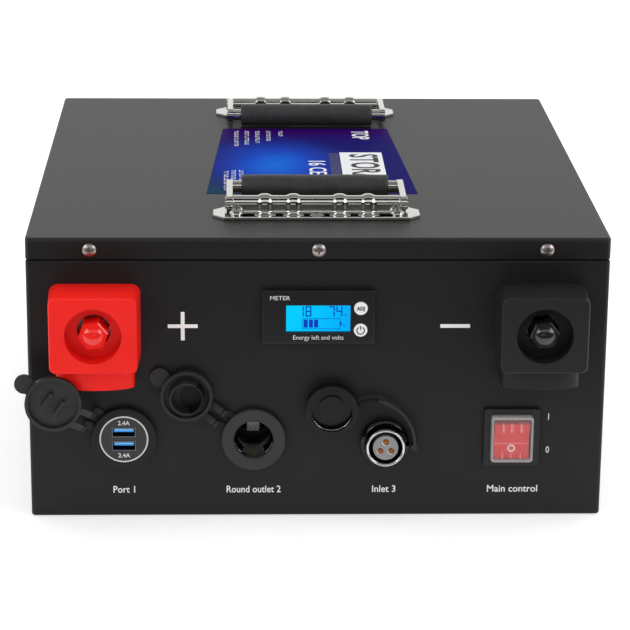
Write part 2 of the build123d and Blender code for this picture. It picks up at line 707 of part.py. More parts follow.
def lipped_cap(cap_r, bore_r, reach, rest, width):
    """Open cap: plate, rim, finger tab and its half of the strap."""
    fold = cap_fold(reach)
    axis_out = cap_axis_out(rest)
    cup = disc(cap_r, 0, CAP_LIP_H)
    cup = fillet(cup.edges().group_by(Axis.Z)[0], CAP_EDGE_R)
    cup -= disc(bore_r, CAP_PLATE_T, CAP_LIP_H + 1)
    tab = cap_tab(cap_r) - disc(cap_r - 2, -1, CAP_PLATE_T + 1)
    cap = Pos(2 * fold, 0, rest) * (cup + tab)
    end = (2 * fold - cap_r + STRAP_ROOT, rest + CAP_PLATE_T / 2)
    length = hypot(end[0] - fold, end[1] - axis_out)
    start = (fold + STRAP_START * (end[0] - fold) / length, axis_out + STRAP_START * (end[1] - axis_out) / length)
    for band in strap(Line(start, end), width):
        cap += band
    return cap


def usb_ports_at():
    """Height of each port's centre in the round face."""
    return (PORT_PITCH / 2 + 0.1, -PORT_PITCH / 2 + 0.1)


def fold_open(reach, axis_out, shape):
    """Turn a shape drawn where it sits on a closed cap to where it is on the open one."""
    fold = cap_fold(reach)
    return Pos(fold, 0, axis_out) * Rot(0, 180, 0) * Pos(-fold, 0, -axis_out) * shape


def usb_cap():
    """Cap with two soft prongs across its strap's line, which stop just short of the ports' face."""
    cap = lipped_cap(USB_CAP_R, USB_CAP_BORE, USB_CAP_REACH, USB_CAP_REST, USB_STRAP_W)
    tip = FLANGE_OUT - USB_FACE_RECESS + MOVE_GAP
    base = CAP_CLOSED_OUT - CAP_PLATE_T + 0.2
    for x in (-PORT_PITCH / 2, PORT_PITCH / 2):
        prong = span((x - PRONG_H / 2, x + PRONG_H / 2), (-PRONG_W / 2, PRONG_W / 2), (tip, base))
        cap += fold_open(USB_CAP_REACH, cap_axis_out(USB_CAP_REST), prong)
    return cap


def socket_cap():
    """Cap with a hollow plug that presses into the socket's bore."""
    cap = lipped_cap(SOCKET_CAP_R, SOCKET_CAP_BORE, SOCKET_CAP_REACH, SOCKET_CAP_REST, SOCKET_STRAP_W)
    centre = 2 * cap_fold(SOCKET_CAP_REACH)
    plug = Pos(0, 0, PLUG_LENGTH / 2) * Cone(PLUG_R, PLUG_TIP_R, PLUG_LENGTH)
    plug -= disc(PLUG_BORE, -1, PLUG_LENGTH + 1)
    return cap + Pos(centre, 0, SOCKET_CAP_REST + CAP_PLATE_T) * plug


# ---- USB outlet -------------------------------------------------------------
def usb_body():
    """Flanged black barrel."""
    body = disc(USB_FLANGE_R, CAP_RING_T, FLANGE_OUT)
    body = fillet(body.edges().group_by(Axis.Z)[-1], 0.8)
    body += disc(USB_BARREL_R, -USB_BODY_DEPTH, CAP_RING_T)
    face_back = FLANGE_OUT - USB_FACE_RECESS - PORT_DEPTH
    return body - disc(USB_FACE_R + SEAT_FIT, face_back - 1, FLANGE_OUT + 1)


def usb_face():
    """Round face with two slots for the ports."""
    front = FLANGE_OUT - USB_FACE_RECESS
    face = disc(USB_FACE_R, front - PORT_DEPTH - 1, front)
    for y in usb_ports_at():
        face -= Pos(0, y, 0) * block(PORT_W, PORT_H, front - PORT_DEPTH, front + 1)
    return face


def usb_shells():
    """Metal sleeve of each port."""
    front = FLANGE_OUT - USB_FACE_RECESS
    sleeve = block(PORT_W - 0.1, PORT_H - 0.1, front - PORT_DEPTH, front + 0.2)
    inner_w = PORT_W - 0.1 - 2 * PORT_WALL
    inner_h = PORT_H - 0.1 - 2 * PORT_WALL
    sleeve -= block(inner_w, inner_h, front - PORT_DEPTH + PORT_WALL, front + 1)
    return group(*[Pos(0, y, 0) * sleeve for y in usb_ports_at()])


def usb_tongues():
    """Insulating tongue in the upper half of each port."""
    back = FLANGE_OUT - USB_FACE_RECESS - PORT_DEPTH + PORT_WALL
    tongue = Pos(0, TONGUE_RISE, 0) * block(TONGUE_W, TONGUE_H, back, back + TONGUE_DEPTH)
    return group(*[Pos(0, y, 0) * tongue for y in usb_ports_at()])


def panel_nut(barrel_r):
    """Round fluted nut that clamps a barrel from behind the panel."""
    outer = barrel_r + PANEL_NUT_RIM
    nut = pipe(outer, barrel_r + SEAT_FIT, -SHEET - PANEL_NUT_T, -SHEET)
    for index in range(PANEL_NUT_FLUTES):
        angle = radians(360 / PANEL_NUT_FLUTES * index)
        nut -= disc(0.9, -SHEET - PANEL_NUT_T - 1, -SHEET - 1, outer * cos(angle), outer * sin(angle))
    return nut


# ---- 12 V accessory socket --------------------------------------------------
def socket_body():
    """Flanged plastic barrel: a pocket for the liner and a narrower well round the contact."""
    body = disc(SOCKET_FLANGE_R, CAP_RING_T, FLANGE_OUT)
    body = fillet(body.edges().group_by(Axis.Z)[-1], 0.8)
    body += disc(SOCKET_BARREL_R, -SOCKET_DEPTH, CAP_RING_T)
    shell_r = SOCKET_BORE_R + SOCKET_SHELL_T + SEAT_FIT
    body -= disc(shell_r, LINER_BACK, FLANGE_OUT - SOCKET_SHELL_INSET)
    body -= disc(CONTACT_WELL_R, SOCKET_FLOOR, LINER_BACK + 1)
    body -= disc(SOCKET_BORE_R, 0, FLANGE_OUT + 1)
    lip = body.edges().filter_by(GeomType.CIRCLE).group_by(Axis.Z)[-1].sort_by(SortBy.RADIUS)[0]
    return chamfer(lip, SOCKET_LEAD_IN)


def socket_shell():
    """Metal liner, the socket's negative side."""
    outer = SOCKET_BORE_R + SOCKET_SHELL_T
    return pipe(outer, SOCKET_BORE_R, LINER_BACK, FLANGE_OUT - SOCKET_SHELL_INSET)


def socket_contact():
    """Sprung centre contact on the socket's floor."""
    contact = disc(CONTACT_R, SOCKET_FLOOR, SOCKET_FLOOR + CONTACT_H)
    return fillet(contact.edges().group_by(Axis.Z)[-1], 1.2)


# ---- charging connector -----------------------------------------------------
def charge_shell():
    """Metal connector shell with a collar in front of the panel."""
    shell = disc(CHARGE_SHELL_R, -CHARGE_DEPTH, CHARGE_OUT)
    collar_front = CAP_RING_T + CHARGE_COLLAR_T
    shell = chamfer(shell.edges().group_by(Axis.Z)[-1], 0.6)
    collar = disc(CHARGE_COLLAR_R, CAP_RING_T, collar_front)
    shell += chamfer(collar.edges().group_by(Axis.Z)[-1], 0.6)
    shell -= disc(CHARGE_BORE_R, CAP_RING_T, CHARGE_OUT + 1)
    return shell - disc(CHARGE_INSERT_R + SEAT_FIT, -CHARGE_DEPTH - 1, CAP_RING_T + 1)


def charge_insert():
    """Insulating insert with three holes for the contacts."""
    insert = disc(CHARGE_INSERT_R, -CHARGE_DEPTH, CHARGE_INSERT_OUT)
    for x, y in contact_places():
        insert -= disc(PIN_CONTACT_R + SEAT_FIT, -CHARGE_DEPTH - 1, CHARGE_INSERT_OUT + 1, x, y)
    return insert


def contact_places():
    """(x, y) of the three contacts, one at the top."""
    for index in range(3):
        angle = radians(90 + 120 * index)
        yield PIN_CONTACT_CIRCLE * cos(angle), PIN_CONTACT_CIRCLE * sin(angle)


def charge_contacts():
    pins = []
    for x, y in contact_places():
        pin = disc(PIN_CONTACT_R, -PIN_CONTACT_BACK, PIN_CONTACT_OUT, x, y)
        pins.append(fillet(pin.edges().group_by(Axis.Z)[-1], PIN_CONTACT_R * 0.6))
    return group(*pins)


def tether_run(start, end, bow):
    """Round cord along one arc between two points, held off the panel."""
    path = Pos(0, 0, TETHER_OUT) * SagittaArc(start, end, bow)
    section = Plane(origin=path @ 0, z_dir=path % 0) * Circle(TETHER_R)
    return sweep(section, path=path)


def charge_cap():
    """Deep cap with a seal disc inside and its own length of the tether."""
    fold = cap_fold(CHARGE_CAP_REACH)
    cup = disc(CHARGE_CAP_R, 0, CHARGE_CAP_LIP_H)
    cup = fillet(cup.edges().group_by(Axis.Z)[0], CAP_EDGE_R)
    cup -= disc(CHARGE_CAP_BORE, CAP_PLATE_T, CHARGE_CAP_LIP_H + 1)
    cup += disc(CHARGE_SEAL_R, CAP_PLATE_T, CHARGE_SEAL_H)
    start = (fold + TETHER_SPLIT / 2, TETHER_SIDE)
    end = (2 * fold + TETHER_CAP_X, TETHER_CAP_SIDE)
    tether = tether_run(start, end, TETHER_CAP_BOW) - disc(CHARGE_CAP_BORE + 0.6, -9, 20, 2 * fold)
    return Pos(2 * fold, 0, CHARGE_CAP_REST) * cup + tether


def charge_cap_ring():
    """Ring under the collar, the tether's post and its fixed length."""
    fold = cap_fold(CHARGE_CAP_REACH)
    post_r = CHARGE_COLLAR_R + TETHER_R + TETHER_POST_GAP
    turn = radians(TETHER_POST_TURN)
    post = (post_r * cos(turn), post_r * sin(turn))
    foot_r = TETHER_R + 0.7
    ring = disc(CHARGE_COLLAR_R - 0.2, 0, CAP_RING_T)
    ring += Rot(0, 0, TETHER_POST_TURN) * span((CHARGE_SHELL_R + 1, post_r), (-foot_r, foot_r), (0, CAP_RING_T))
    ring += disc(foot_r, 0, TETHER_OUT + TETHER_R, *post)
    ring += tether_run(post, (fold - TETHER_SPLIT / 2, TETHER_SIDE), TETHER_BOW)
    return ring - disc(CHARGE_SHELL_R + SEAT_FIT, -1, CAP_RING_T + 1)


# ---- power switch -----------------------------------------------------------
def switch_frame():
    """Snap-in frame with a seat for the clear boot."""
    frame = block(SWITCH_FLANGE_W, SWITCH_FLANGE_H, 0, SWITCH_FLANGE_T, SWITCH_CORNER_R)
    frame = fillet(frame.edges().group_by(Axis.Z)[-1], SWITCH_EDGE_R)
    frame += block(SWITCH_BODY_W, SWITCH_BODY_H, -SWITCH_DEPTH, 0)
    room_w = ROCKER_W + 2 * ROCKER_GAP
    room_h = ROCKER_H + 4 * ROCKER_GAP
    frame -= block(room_w, room_h, -SWITCH_DEPTH + 2, SWITCH_FLANGE_T + 1)
    frame -= block(BOOT_W + 2 * SEAT_FIT, BOOT_H + 2 * SEAT_FIT, BOOT_SEAT, SWITCH_FLANGE_T + 1, 2.0)
    length = ROCKER_W / 2 + ROCKER_PIN_LENGTH + ROCKER_GAP
    return frame - bar_x(ROCKER_PIN_R + RUN_FIT, -length, length, 0, ROCKER_AXIS_OUT)


def switch_rocker():
    """Rocker tilted to off, its lower half pressed in."""
    half = ROCKER_H / 2
    face = [(-half, ROCKER_TIP_OUT), (0, ROCKER_WAIST_OUT), (half, ROCKER_TIP_OUT)]
    foot = [(half, ROCKER_AXIS_OUT + 1), (0, ROCKER_AXIS_OUT - ROCKER_FOOT_R), (-half, ROCKER_AXIS_OUT + 1)]
    outline = make_face(Polyline(*face, *foot, close=True))
    side = Plane(origin=(-ROCKER_W / 2, 0, 0), x_dir=(0, 1, 0), z_dir=(1, 0, 0)).location
    rocker = side * extrude(outline, amount=ROCKER_W)
    pin = ROCKER_W / 2 + ROCKER_PIN_LENGTH
    rocker += bar_x(ROCKER_PIN_R, -pin, pin, 0, ROCKER_AXIS_OUT)
    return Pos(0, 0, ROCKER_AXIS_OUT) * Rot(ROCKER_TILT, 0, 0) * Pos(0, 0, -ROCKER_AXIS_OUT) * rocker


def switch_cover():
    """Clear soft boot over the rocker."""
    boot = block(BOOT_W, BOOT_H, BOOT_SEAT, BOOT_OUT, 2.0)
    boot = fillet(boot.edges().group_by(Axis.Z)[-1], 1.8)
    room = block(BOOT_W - 2 * BOOT_WALL, BOOT_H - 2 * BOOT_WALL, BOOT_SEAT - 1, BOOT_OUT - BOOT_WALL, 1.2)
    return boot - fillet(room.edges().group_by(Axis.Z)[-1], 1.0)


def switch_blades():
    """Push-on blades at the switch's back."""
    back = -SWITCH_DEPTH
    blade = block(BLADE_W, BLADE_T, back - BLADE_LENGTH, back)
    return group(*[Pos(0, y, 0) * blade for y in BLADE_YS])


# ---- cells and wiring -------------------------------------------------------
CELLS_BACK = CASE_D / 2 - SHEET - CELL_REAR_GAP
CELLS_FRONT = CELLS_BACK - CELL_ROWS * (CELL_T + CELL_GAP)
CELL_TOP = SHEET + CELL_H
POST_X_OUT = CELL_W + CELL_GAP - POST_INSET
POST_X_IN = CELL_GAP + POST_INSET


def row_y(row):
    """Centre of a row of cells, row 0 at the front."""
    return CELLS_FRONT + (row + 0.5) * (CELL_T + CELL_GAP)


def cell():
    """One prismatic cell with its two threaded posts."""
    body = block(CELL_W - CELL_GAP, CELL_T, SHEET, CELL_TOP, 1.2)
    for side in (-1, 1):
        body += disc(POST_R, CELL_TOP, CELL_TOP + POST_H, side * (CELL_W / 2 - POST_INSET))
    return body


def cells():
    one = cell()
    places = [(side * (CELL_W + CELL_GAP) / 2, row_y(row)) for side in (-1, 1) for row in range(CELL_ROWS)]
    return group(*[Pos(x, y, 0) * one for x, y in places])


def post_columns():
    """X of the four columns of posts, from left to right."""
    centre = (CELL_W + CELL_GAP) / 2
    offset = CELL_W / 2 - POST_INSET
    return (-centre - offset, -centre + offset, centre - offset, centre + offset)


def busbar(x, first, last):
    """Flat bar over the posts of one column from one row to another."""
    y_range = (row_y(first) - BUSBAR_W / 2, row_y(last) + BUSBAR_W / 2)
    bar = span((x - BUSBAR_W / 2, x + BUSBAR_W / 2), y_range, (CELL_TOP, CELL_TOP + BUSBAR_T))
    for row in range(first, last + 1):
        bar -= disc(POST_R + SEAT_FIT, CELL_TOP - 1, CELL_TOP + BUSBAR_T + 1, x, row_y(row))
    return bar


def busbars():
    """Bars that join the cells four in parallel and four in series."""
    far_left, left, right, far_right = post_columns()
    half = CELL_ROWS // 2
    last = CELL_ROWS - 1
    cross_y = (CELLS_BACK - BUSBAR_W / 4, CELLS_BACK)
    cross = span((far_left - BUSBAR_W / 2, far_right + BUSBAR_W / 2), cross_y, (CELL_TOP, CELL_TOP + BUSBAR_T))
    link = busbar(far_left, half, last) + busbar(far_right, half, last) + cross
    for x in (far_left, far_right):
        y_range = (row_y(last), CELLS_BACK)
        web = span((x - BUSBAR_W / 2, x + BUSBAR_W / 2), y_range, (CELL_TOP, CELL_TOP + BUSBAR_T))
        link += web - disc(POST_R + SEAT_FIT, CELL_TOP - 1, CELL_TOP + BUSBAR_T + 1, x, row_y(last))
    ends = [busbar(x, 0, half - 1) for x in (far_left, far_right)]
    return group(*ends, busbar(left, 0, last), busbar(right, 0, last), link)


def busbar_nuts():
    base = CELL_TOP + BUSBAR_T
    nut = hexagon(BUSBAR_NUT_AF, base, base + BUSBAR_NUT_T) - disc(POST_R + SEAT_FIT, 0, CASE_H)
    places = [(x, row_y(row)) for x in post_columns() for row in range(CELL_ROWS)]
    return group(*[Pos(x, y, 0) * nut for x, y in places])


def insulation_sheet():
    """Thin sheet laid over the posts."""
    base = CELL_TOP + POST_H
    depth = CELLS_BACK - CELLS_FRONT
    width = 2 * (CELL_W + CELL_GAP)
    return Pos(0, CELLS_BACK - depth / 2, 0) * block(width, depth, base, base + SHEET_OVER_CELLS_T)


HEATSINK_BACK = CELLS_FRONT - HEATSINK_GAP


def bms_heatsink():
    """Finned plate that stands on the case's floor and carries the board."""
    base_y = (HEATSINK_BACK - HEATSINK_FIN_OUT - HEATSINK_BASE, HEATSINK_BACK - HEATSINK_FIN_OUT)
    half = HEATSINK_W / 2
    sink = span((-half, half), base_y, (SHEET, SHEET + HEATSINK_H))
    for index in range(HEATSINK_FINS):
        x = -half + (HEATSINK_W - HEATSINK_FIN_T) * index / (HEATSINK_FINS - 1)
        sink += span((x, x + HEATSINK_FIN_T), (base_y[1], HEATSINK_BACK), (SHEET, SHEET + HEATSINK_H))
    return sink


def bms_board():
    """Battery management board with its row of power transistors."""
    back = HEATSINK_BACK - HEATSINK_FIN_OUT - HEATSINK_BASE
    low = SHEET + (HEATSINK_H - BMS_H) / 2
    board = span((-BMS_W / 2, BMS_W / 2), (back - BOARD_T, back), (low, low + BMS_H))
    count = 12
    for index in range(count):
        x = -BMS_W / 2 + BMS_W * (index + 0.5) / count
        board += span((x - 5, x + 5), (back - BOARD_T - BMS_PART_T, back - BOARD_T), (low + 12, low + 26))
        board += span((x - 4, x + 4), (back - BOARD_T - BMS_PART_T, back - BOARD_T), (low + 52, low + 60))
    return board


def cable(points, radii):
    """Round cable along straight runs joined by arcs."""
    path = FilletPolyline(*points, radius=radii)
    section = Plane(origin=path @ 0, z_dir=path % 0) * Circle(CABLE_R)
    return sweep(section, path=path)


def panel_lug(side):
    """Ring lug on a stud behind the panel."""
    front = -SHEET - INSULATOR_T - REAR_NUT_T
    lug = disc(LUG_R, front - REAR_LUG_T, front) - disc(STUD_R + SEAT_FIT, -2 * STUD_BACK, 0)
    return on_panel((side * TERMINAL_X, TERMINAL_Y), lug)


def lug_place(side):
    """Where a cable joins its panel lug, below the stud."""
    out = SHEET + INSULATOR_T + REAR_NUT_T + REAR_LUG_T / 2
    return (side * TERMINAL_X, FRONT + out, TERMINAL_Y - LUG_R + 1)


def bar_lug(x):
    """Flat tab from a cable's end to the front edge of the busbar behind it."""
    front = CELLS_FRONT - 2 * CABLE_R - 3
    back = row_y(0) - BUSBAR_W / 2
    return span((x - 7, x + 7), (front, back), (CELL_TOP, CELL_TOP + BUSBAR_T))


def positive_cable():
    """From the left terminal's stud over the front cells to the first busbar."""
    x, y, z = lug_place(-1)
    end_x = post_columns()[0]
    end_y = CELLS_FRONT - CABLE_R - 1
    points = [(x, y, z), (x, y, z - 32), (end_x, end_y - 20, z - 52), (end_x, end_y, z - 20)]
    points.append((end_x, end_y, CELL_TOP + BUSBAR_T / 2))
    return cable(points, [14, 16, 16]) + panel_lug(-1) + bar_lug(end_x)


def negative_cable():
    """From the right terminal's stud to the board, and from the board to the last busbar."""
    x, y, z = lug_place(1)
    board_x = BMS_W / 2 - 2 * CABLE_R
    board_y = HEATSINK_BACK - HEATSINK_FIN_OUT - HEATSINK_BASE - BOARD_T
    low = SHEET + HEATSINK_H * 0.45
    high = SHEET + HEATSINK_H * 0.8
    out = cable([(x, y, z), (x, y, z - 25), (board_x, board_y - 26, low), (board_x, board_y, low)], [15, 12])
    end_x = post_columns()[3]
    end_y = CELLS_FRONT - CABLE_R - 1
    bend_y = board_y - 24
    points = [(board_x, board_y, high), (board_x, bend_y, high), (end_x, bend_y + 10, high + 6)]
    points += [(end_x, end_y, high + 22), (end_x, end_y, CELL_TOP + BUSBAR_T / 2)]
    return group(out + panel_lug(1), cable(points, [11, 14, 14]) + bar_lug(end_x))


def at_outlet(place, shape):
    """A shape of several solids put on the panel."""
    return group(on_panel(place, shape))


def build():
    """Every node's name and shape."""
    terminal = {"positive": (-TERMINAL_X, TERMINAL_Y), "negative": (TERMINAL_X, TERMINAL_Y)}
    meter = (0, METER_Y)
    nodes = {
        "case_body": case_body(),
        "case_lid": case_lid(),
        "lid_screws": lid_screws(),
        "top_label": top_label(),
        "front_handle_plate": handle_plate(),
        "rear_handle_plate": mirror_rear(handle_plate()),
        "front_handle_bail": handle_bail(),
        "rear_handle_bail": mirror_rear(handle_bail()),
        "front_handle_grip": handle_grip(),
        "rear_handle_grip": mirror_rear(handle_grip()),
        "handle_pins": group(handle_pin(), mirror_rear(handle_pin())),
        "handle_screws": handle_screws(),
        "handle_nuts": handle_nuts(),
        "terminal_insulators": at_terminals(terminal_insulator()),
        "terminal_rear_nuts": at_terminals(terminal_rear_nuts()),
        "meter_fascia": on_panel(meter, meter_fascia()),
        "meter_housing": on_panel(meter, meter_housing()),
        "meter_lcd": on_panel(meter, meter_lcd()),
        "meter_set_button": on_panel(meter, meter_button(BUTTON_YS[0])),
        "meter_power_button": on_panel(meter, meter_button(BUTTON_YS[1])),
        "meter_board": on_panel(meter, meter_board()),
        "usb_body": on_panel(USB_AT, usb_body()),
        "usb_face": on_panel(USB_AT, usb_face()),
        "usb_shells": at_outlet(USB_AT, usb_shells()),
        "usb_tongues": at_outlet(USB_AT, usb_tongues()),
        "usb_nut": on_panel(USB_AT, panel_nut(USB_BARREL_R)),
        "usb_cap": place_cap(USB_AT, USB_CAP_REACH, usb_cap()),
        "usb_cap_ring": place_cap(
            USB_AT, USB_CAP_REACH, cap_ring(USB_BARREL_R, USB_FLANGE_R, USB_CAP_REACH, USB_CAP_REST, USB_STRAP_W)),
        "socket_body": on_panel(SOCKET_AT, socket_body()),
        "socket_shell": on_panel(SOCKET_AT, socket_shell()),
        "socket_contact": on_panel(SOCKET_AT, socket_contact()),
        "socket_nut": on_panel(SOCKET_AT, panel_nut(SOCKET_BARREL_R)),
        "socket_cap": place_cap(SOCKET_AT, SOCKET_CAP_REACH, socket_cap()),
        "socket_cap_ring": place_cap(
            SOCKET_AT, SOCKET_CAP_REACH,
            cap_ring(SOCKET_BARREL_R, SOCKET_FLANGE_R, SOCKET_CAP_REACH, SOCKET_CAP_REST, SOCKET_STRAP_W)),
        "charge_shell": on_panel(CHARGE_AT, charge_shell()),
        "charge_insert": on_panel(CHARGE_AT, charge_insert()),
        "charge_contacts": at_outlet(CHARGE_AT, charge_contacts()),
        "charge_nut": on_panel(CHARGE_AT, panel_nut(CHARGE_SHELL_R)),
        "charge_cap": place_cap(CHARGE_AT, CHARGE_CAP_REACH, charge_cap()),
        "charge_cap_ring": place_cap(CHARGE_AT, CHARGE_CAP_REACH, charge_cap_ring()),
        "switch_frame": on_panel(SWITCH_AT, switch_frame()),
        "switch_rocker": on_panel(SWITCH_AT, switch_rocker()),
        "switch_cover": on_panel(SWITCH_AT, switch_cover()),
        "switch_blades": at_outlet(SWITCH_AT, switch_blades()),
        "cells": cells(),
        "busbars": busbars(),
        "busbar_nuts": busbar_nuts(),
        "insulation_sheet": insulation_sheet(),
        "bms_heatsink": bms_heatsink(),
        "bms_board": bms_board(),
        "positive_cable": positive_cable(),
        "negative_cable": negative_cable(),
    }
    for name, place in terminal.items():
        nodes[name + "_housing"] = on_panel(place, terminal_housing())
        nodes[name + "_stud"] = on_panel(place, terminal_stud())
        nodes[name + "_washer"] = on_panel(place, terminal_washer())
        nodes[name + "_nut"] = on_panel(place, terminal_nut())
    return nodes


def main():
    os.makedirs("parts", exist_ok=True)
    for name, shape in build().items():
        export_step(shape, "parts/" + name + ".step")


if __name__ == "__main__":
    main()
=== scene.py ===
"""Finishes and fine pieces of a deep cycle battery, laid out as an add-on and run as a script."""
import json
from math import cos, pi, radians, sin

import bmesh
import bpy
import numpy as np
from mathutils import Matrix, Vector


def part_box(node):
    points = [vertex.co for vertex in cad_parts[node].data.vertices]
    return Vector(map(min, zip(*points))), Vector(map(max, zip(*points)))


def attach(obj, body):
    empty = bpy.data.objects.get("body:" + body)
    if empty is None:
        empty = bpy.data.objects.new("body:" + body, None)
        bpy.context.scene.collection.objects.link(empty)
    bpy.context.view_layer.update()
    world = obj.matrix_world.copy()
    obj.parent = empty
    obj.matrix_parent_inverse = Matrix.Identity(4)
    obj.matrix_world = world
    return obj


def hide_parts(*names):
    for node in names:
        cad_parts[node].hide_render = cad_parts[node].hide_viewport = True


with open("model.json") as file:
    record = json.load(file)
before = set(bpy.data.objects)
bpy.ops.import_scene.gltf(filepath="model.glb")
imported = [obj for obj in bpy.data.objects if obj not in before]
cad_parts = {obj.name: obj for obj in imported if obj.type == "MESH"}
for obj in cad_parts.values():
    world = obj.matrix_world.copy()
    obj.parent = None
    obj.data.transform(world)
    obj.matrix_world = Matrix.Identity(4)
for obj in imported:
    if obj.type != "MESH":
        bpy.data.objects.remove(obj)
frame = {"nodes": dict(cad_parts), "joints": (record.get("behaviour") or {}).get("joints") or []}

bl_info = {
    "name": "Deep Cycle Battery Looks",
    "version": (1, 0, 0),
    "blender": (4, 5, 0),
    "location": "3D View > Sidebar > Battery",
    "description": "Finishes, printed marks and fine pieces of a battery in a sheet-metal case",
    "category": "Object",
}

MM = 0.001
INK_T = 0.03 * MM    # thickness of printed ink
NODES = frame["nodes"]


def centre_of(node):
    """Middle of a node's box, in metres."""
    low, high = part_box(node)
    return (low + high) / 2


CASE_LOW, CASE_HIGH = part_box("case_body")
LID_LOW, LID_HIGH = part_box("case_lid")
PANEL_Y = CASE_LOW.y
LID_TOP = LID_HIGH.z


# ---- settings that a user would change --------------------------------------
def colour(name, default, words):
    """A colour property."""
    return bpy.props.FloatVectorProperty(
        name=name, description=words, default=default, size=3, min=0, max=1, subtype="COLOR")


def length(name, millimetres, words):
    """A length property, given in millimetres and kept in metres."""
    return bpy.props.FloatProperty(
        name=name, description=words, default=millimetres * MM, min=0, unit="LENGTH", precision=4)


def number(name, default, words, low=0.0, high=10.0):
    """A plain number property."""
    return bpy.props.FloatProperty(name=name, description=words, default=default, min=low, max=high)


class CaseSettings(bpy.types.PropertyGroup):
    """Paint of the case and lid."""
    paint: colour("Case paint", (0.0095, 0.0095, 0.010), "Colour of the powder coat on the tray")
    lid_paint: colour("Lid paint", (0.0113, 0.0110, 0.0111), "Colour of the powder coat on the lid")
    roughness: number("Roughness", 0.5, "Roughness of the powder coat", 0.05, 1.0)
    grain: length("Grain", 0.7, "Size of the powder coat's grain")
    ink: colour("Ink", (0.98, 0.98, 0.98), "Colour of the printed marks")


class TerminalSettings(bpy.types.PropertyGroup):
    """Moulded covers round the terminals."""
    red: colour("Positive cover", (0.93, 0.016, 0.011), "Colour of the positive terminal's cover")
    black: colour("Negative cover", (0.018, 0.018, 0.019), "Colour of the negative terminal's cover")


class MeterSettings(bpy.types.PropertyGroup):
    """Panel meter."""
    glow: colour("Backlight", (0.0, 0.27, 0.88), "Colour of the display's backlight")
    glow_strength: number("Backlight strength", 1.0, "Brightness of the display")
    digit_height: length("Digit height", 6.0, "Height of the display's digits")
    stroke: length("Digit stroke", 0.7, "Width of a digit's segments")


class HandleSettings(bpy.types.PropertyGroup):
    """Folding handles."""
    bright: colour("Plating", (0.66, 0.65, 0.62), "Colour of the plated steel")
    grip: colour("Grip", (0.03, 0.03, 0.029), "Colour of the rubber sleeve")
    rib_out: length("Rib height", 1.1, "How far the pressed ribs stand out")
    rib_width: length("Rib width", 6.4, "Width of a pressed rib")


class LabelSettings(bpy.types.PropertyGroup):
    """Printed label on the lid."""
    deep: colour("Deep blue", (0.002, 0.0, 0.105), "Colour at the label's edges")
    bright: colour("Bright blue", (0.0, 0.056, 0.50), "Colour of the glow at the label's middle")


class StageSettings(bpy.types.PropertyGroup):
    """Camera, floor, cards and lamps."""
    focal: number("Lens", 144.8, "Focal length in millimetres on a 36 mm sensor", 10, 400)
    camera: bpy.props.FloatVectorProperty(
        name="Camera", description="Where the camera stands", default=(-0.0454, -1.4997, 0.5379),
        subtype="TRANSLATION", unit="LENGTH")
    pitch: number("Pitch", 17.55, "Degrees that the camera looks down", -90, 90)
    yaw: number("Yaw", 1.88, "Degrees that the camera looks to the right", -180, 180)
    roll: number("Roll", 0.53, "Degrees that the camera is rolled", -180, 180)
    world: number("World light", 0.6, "Strength of the surrounding light")
    overhead: number("Overhead lamp", 9.0, "Power of the soft lamp above, in watts", 0, 1000)
    side: number("Side lamp", 7.6, "Power of the soft lamps at the sides, in watts", 0, 1000)


GROUPS = {
    "battery_case": CaseSettings,
    "battery_terminals": TerminalSettings,
    "battery_meter": MeterSettings,
    "battery_handles": HandleSettings,
    "battery_label": LabelSettings,
    "battery_stage": StageSettings,
}


# ---- shader expressions ------------------------------------------------------
class Value:
    """A shader socket whose operators add Math nodes."""

    def __init__(self, tree, socket):
        self.tree = tree
        self.socket = socket

    def math(self, operation, *others, first=None):
        """A Math node on this socket and others, in order; first goes ahead of it."""
        node = self.tree.nodes.new("ShaderNodeMath")
        node.operation = operation
        terms = ([first] if first is not None else []) + [self, *others]
        for slot, term in zip(node.inputs, terms):
            if isinstance(term, Value):
                self.tree.links.new(term.socket, slot)
            else:
                slot.default_value = term
        return Value(self.tree, node.outputs[0])

    def __add__(self, other):
        return self.math("ADD", other)

    __radd__ = __add__

    def __mul__(self, other):
        return self.math("MULTIPLY", other)

    __rmul__ = __mul__

    def __sub__(self, other):
        return self.math("SUBTRACT", other)

    def __rsub__(self, other):
        return self.math("SUBTRACT", first=other)

    def __truediv__(self, other):
        return self.math("DIVIDE", other)

    def clamp(self):
        """The value held between 0 and 1."""
        return self.math("MAXIMUM", 0.0).math("MINIMUM", 1.0)

    def step(self, low, high):
        """0 below low, 1 above high and smooth between."""
        t = ((self - low) / (high - low)).clamp()
        return t * t * (3.0 - 2.0 * t)


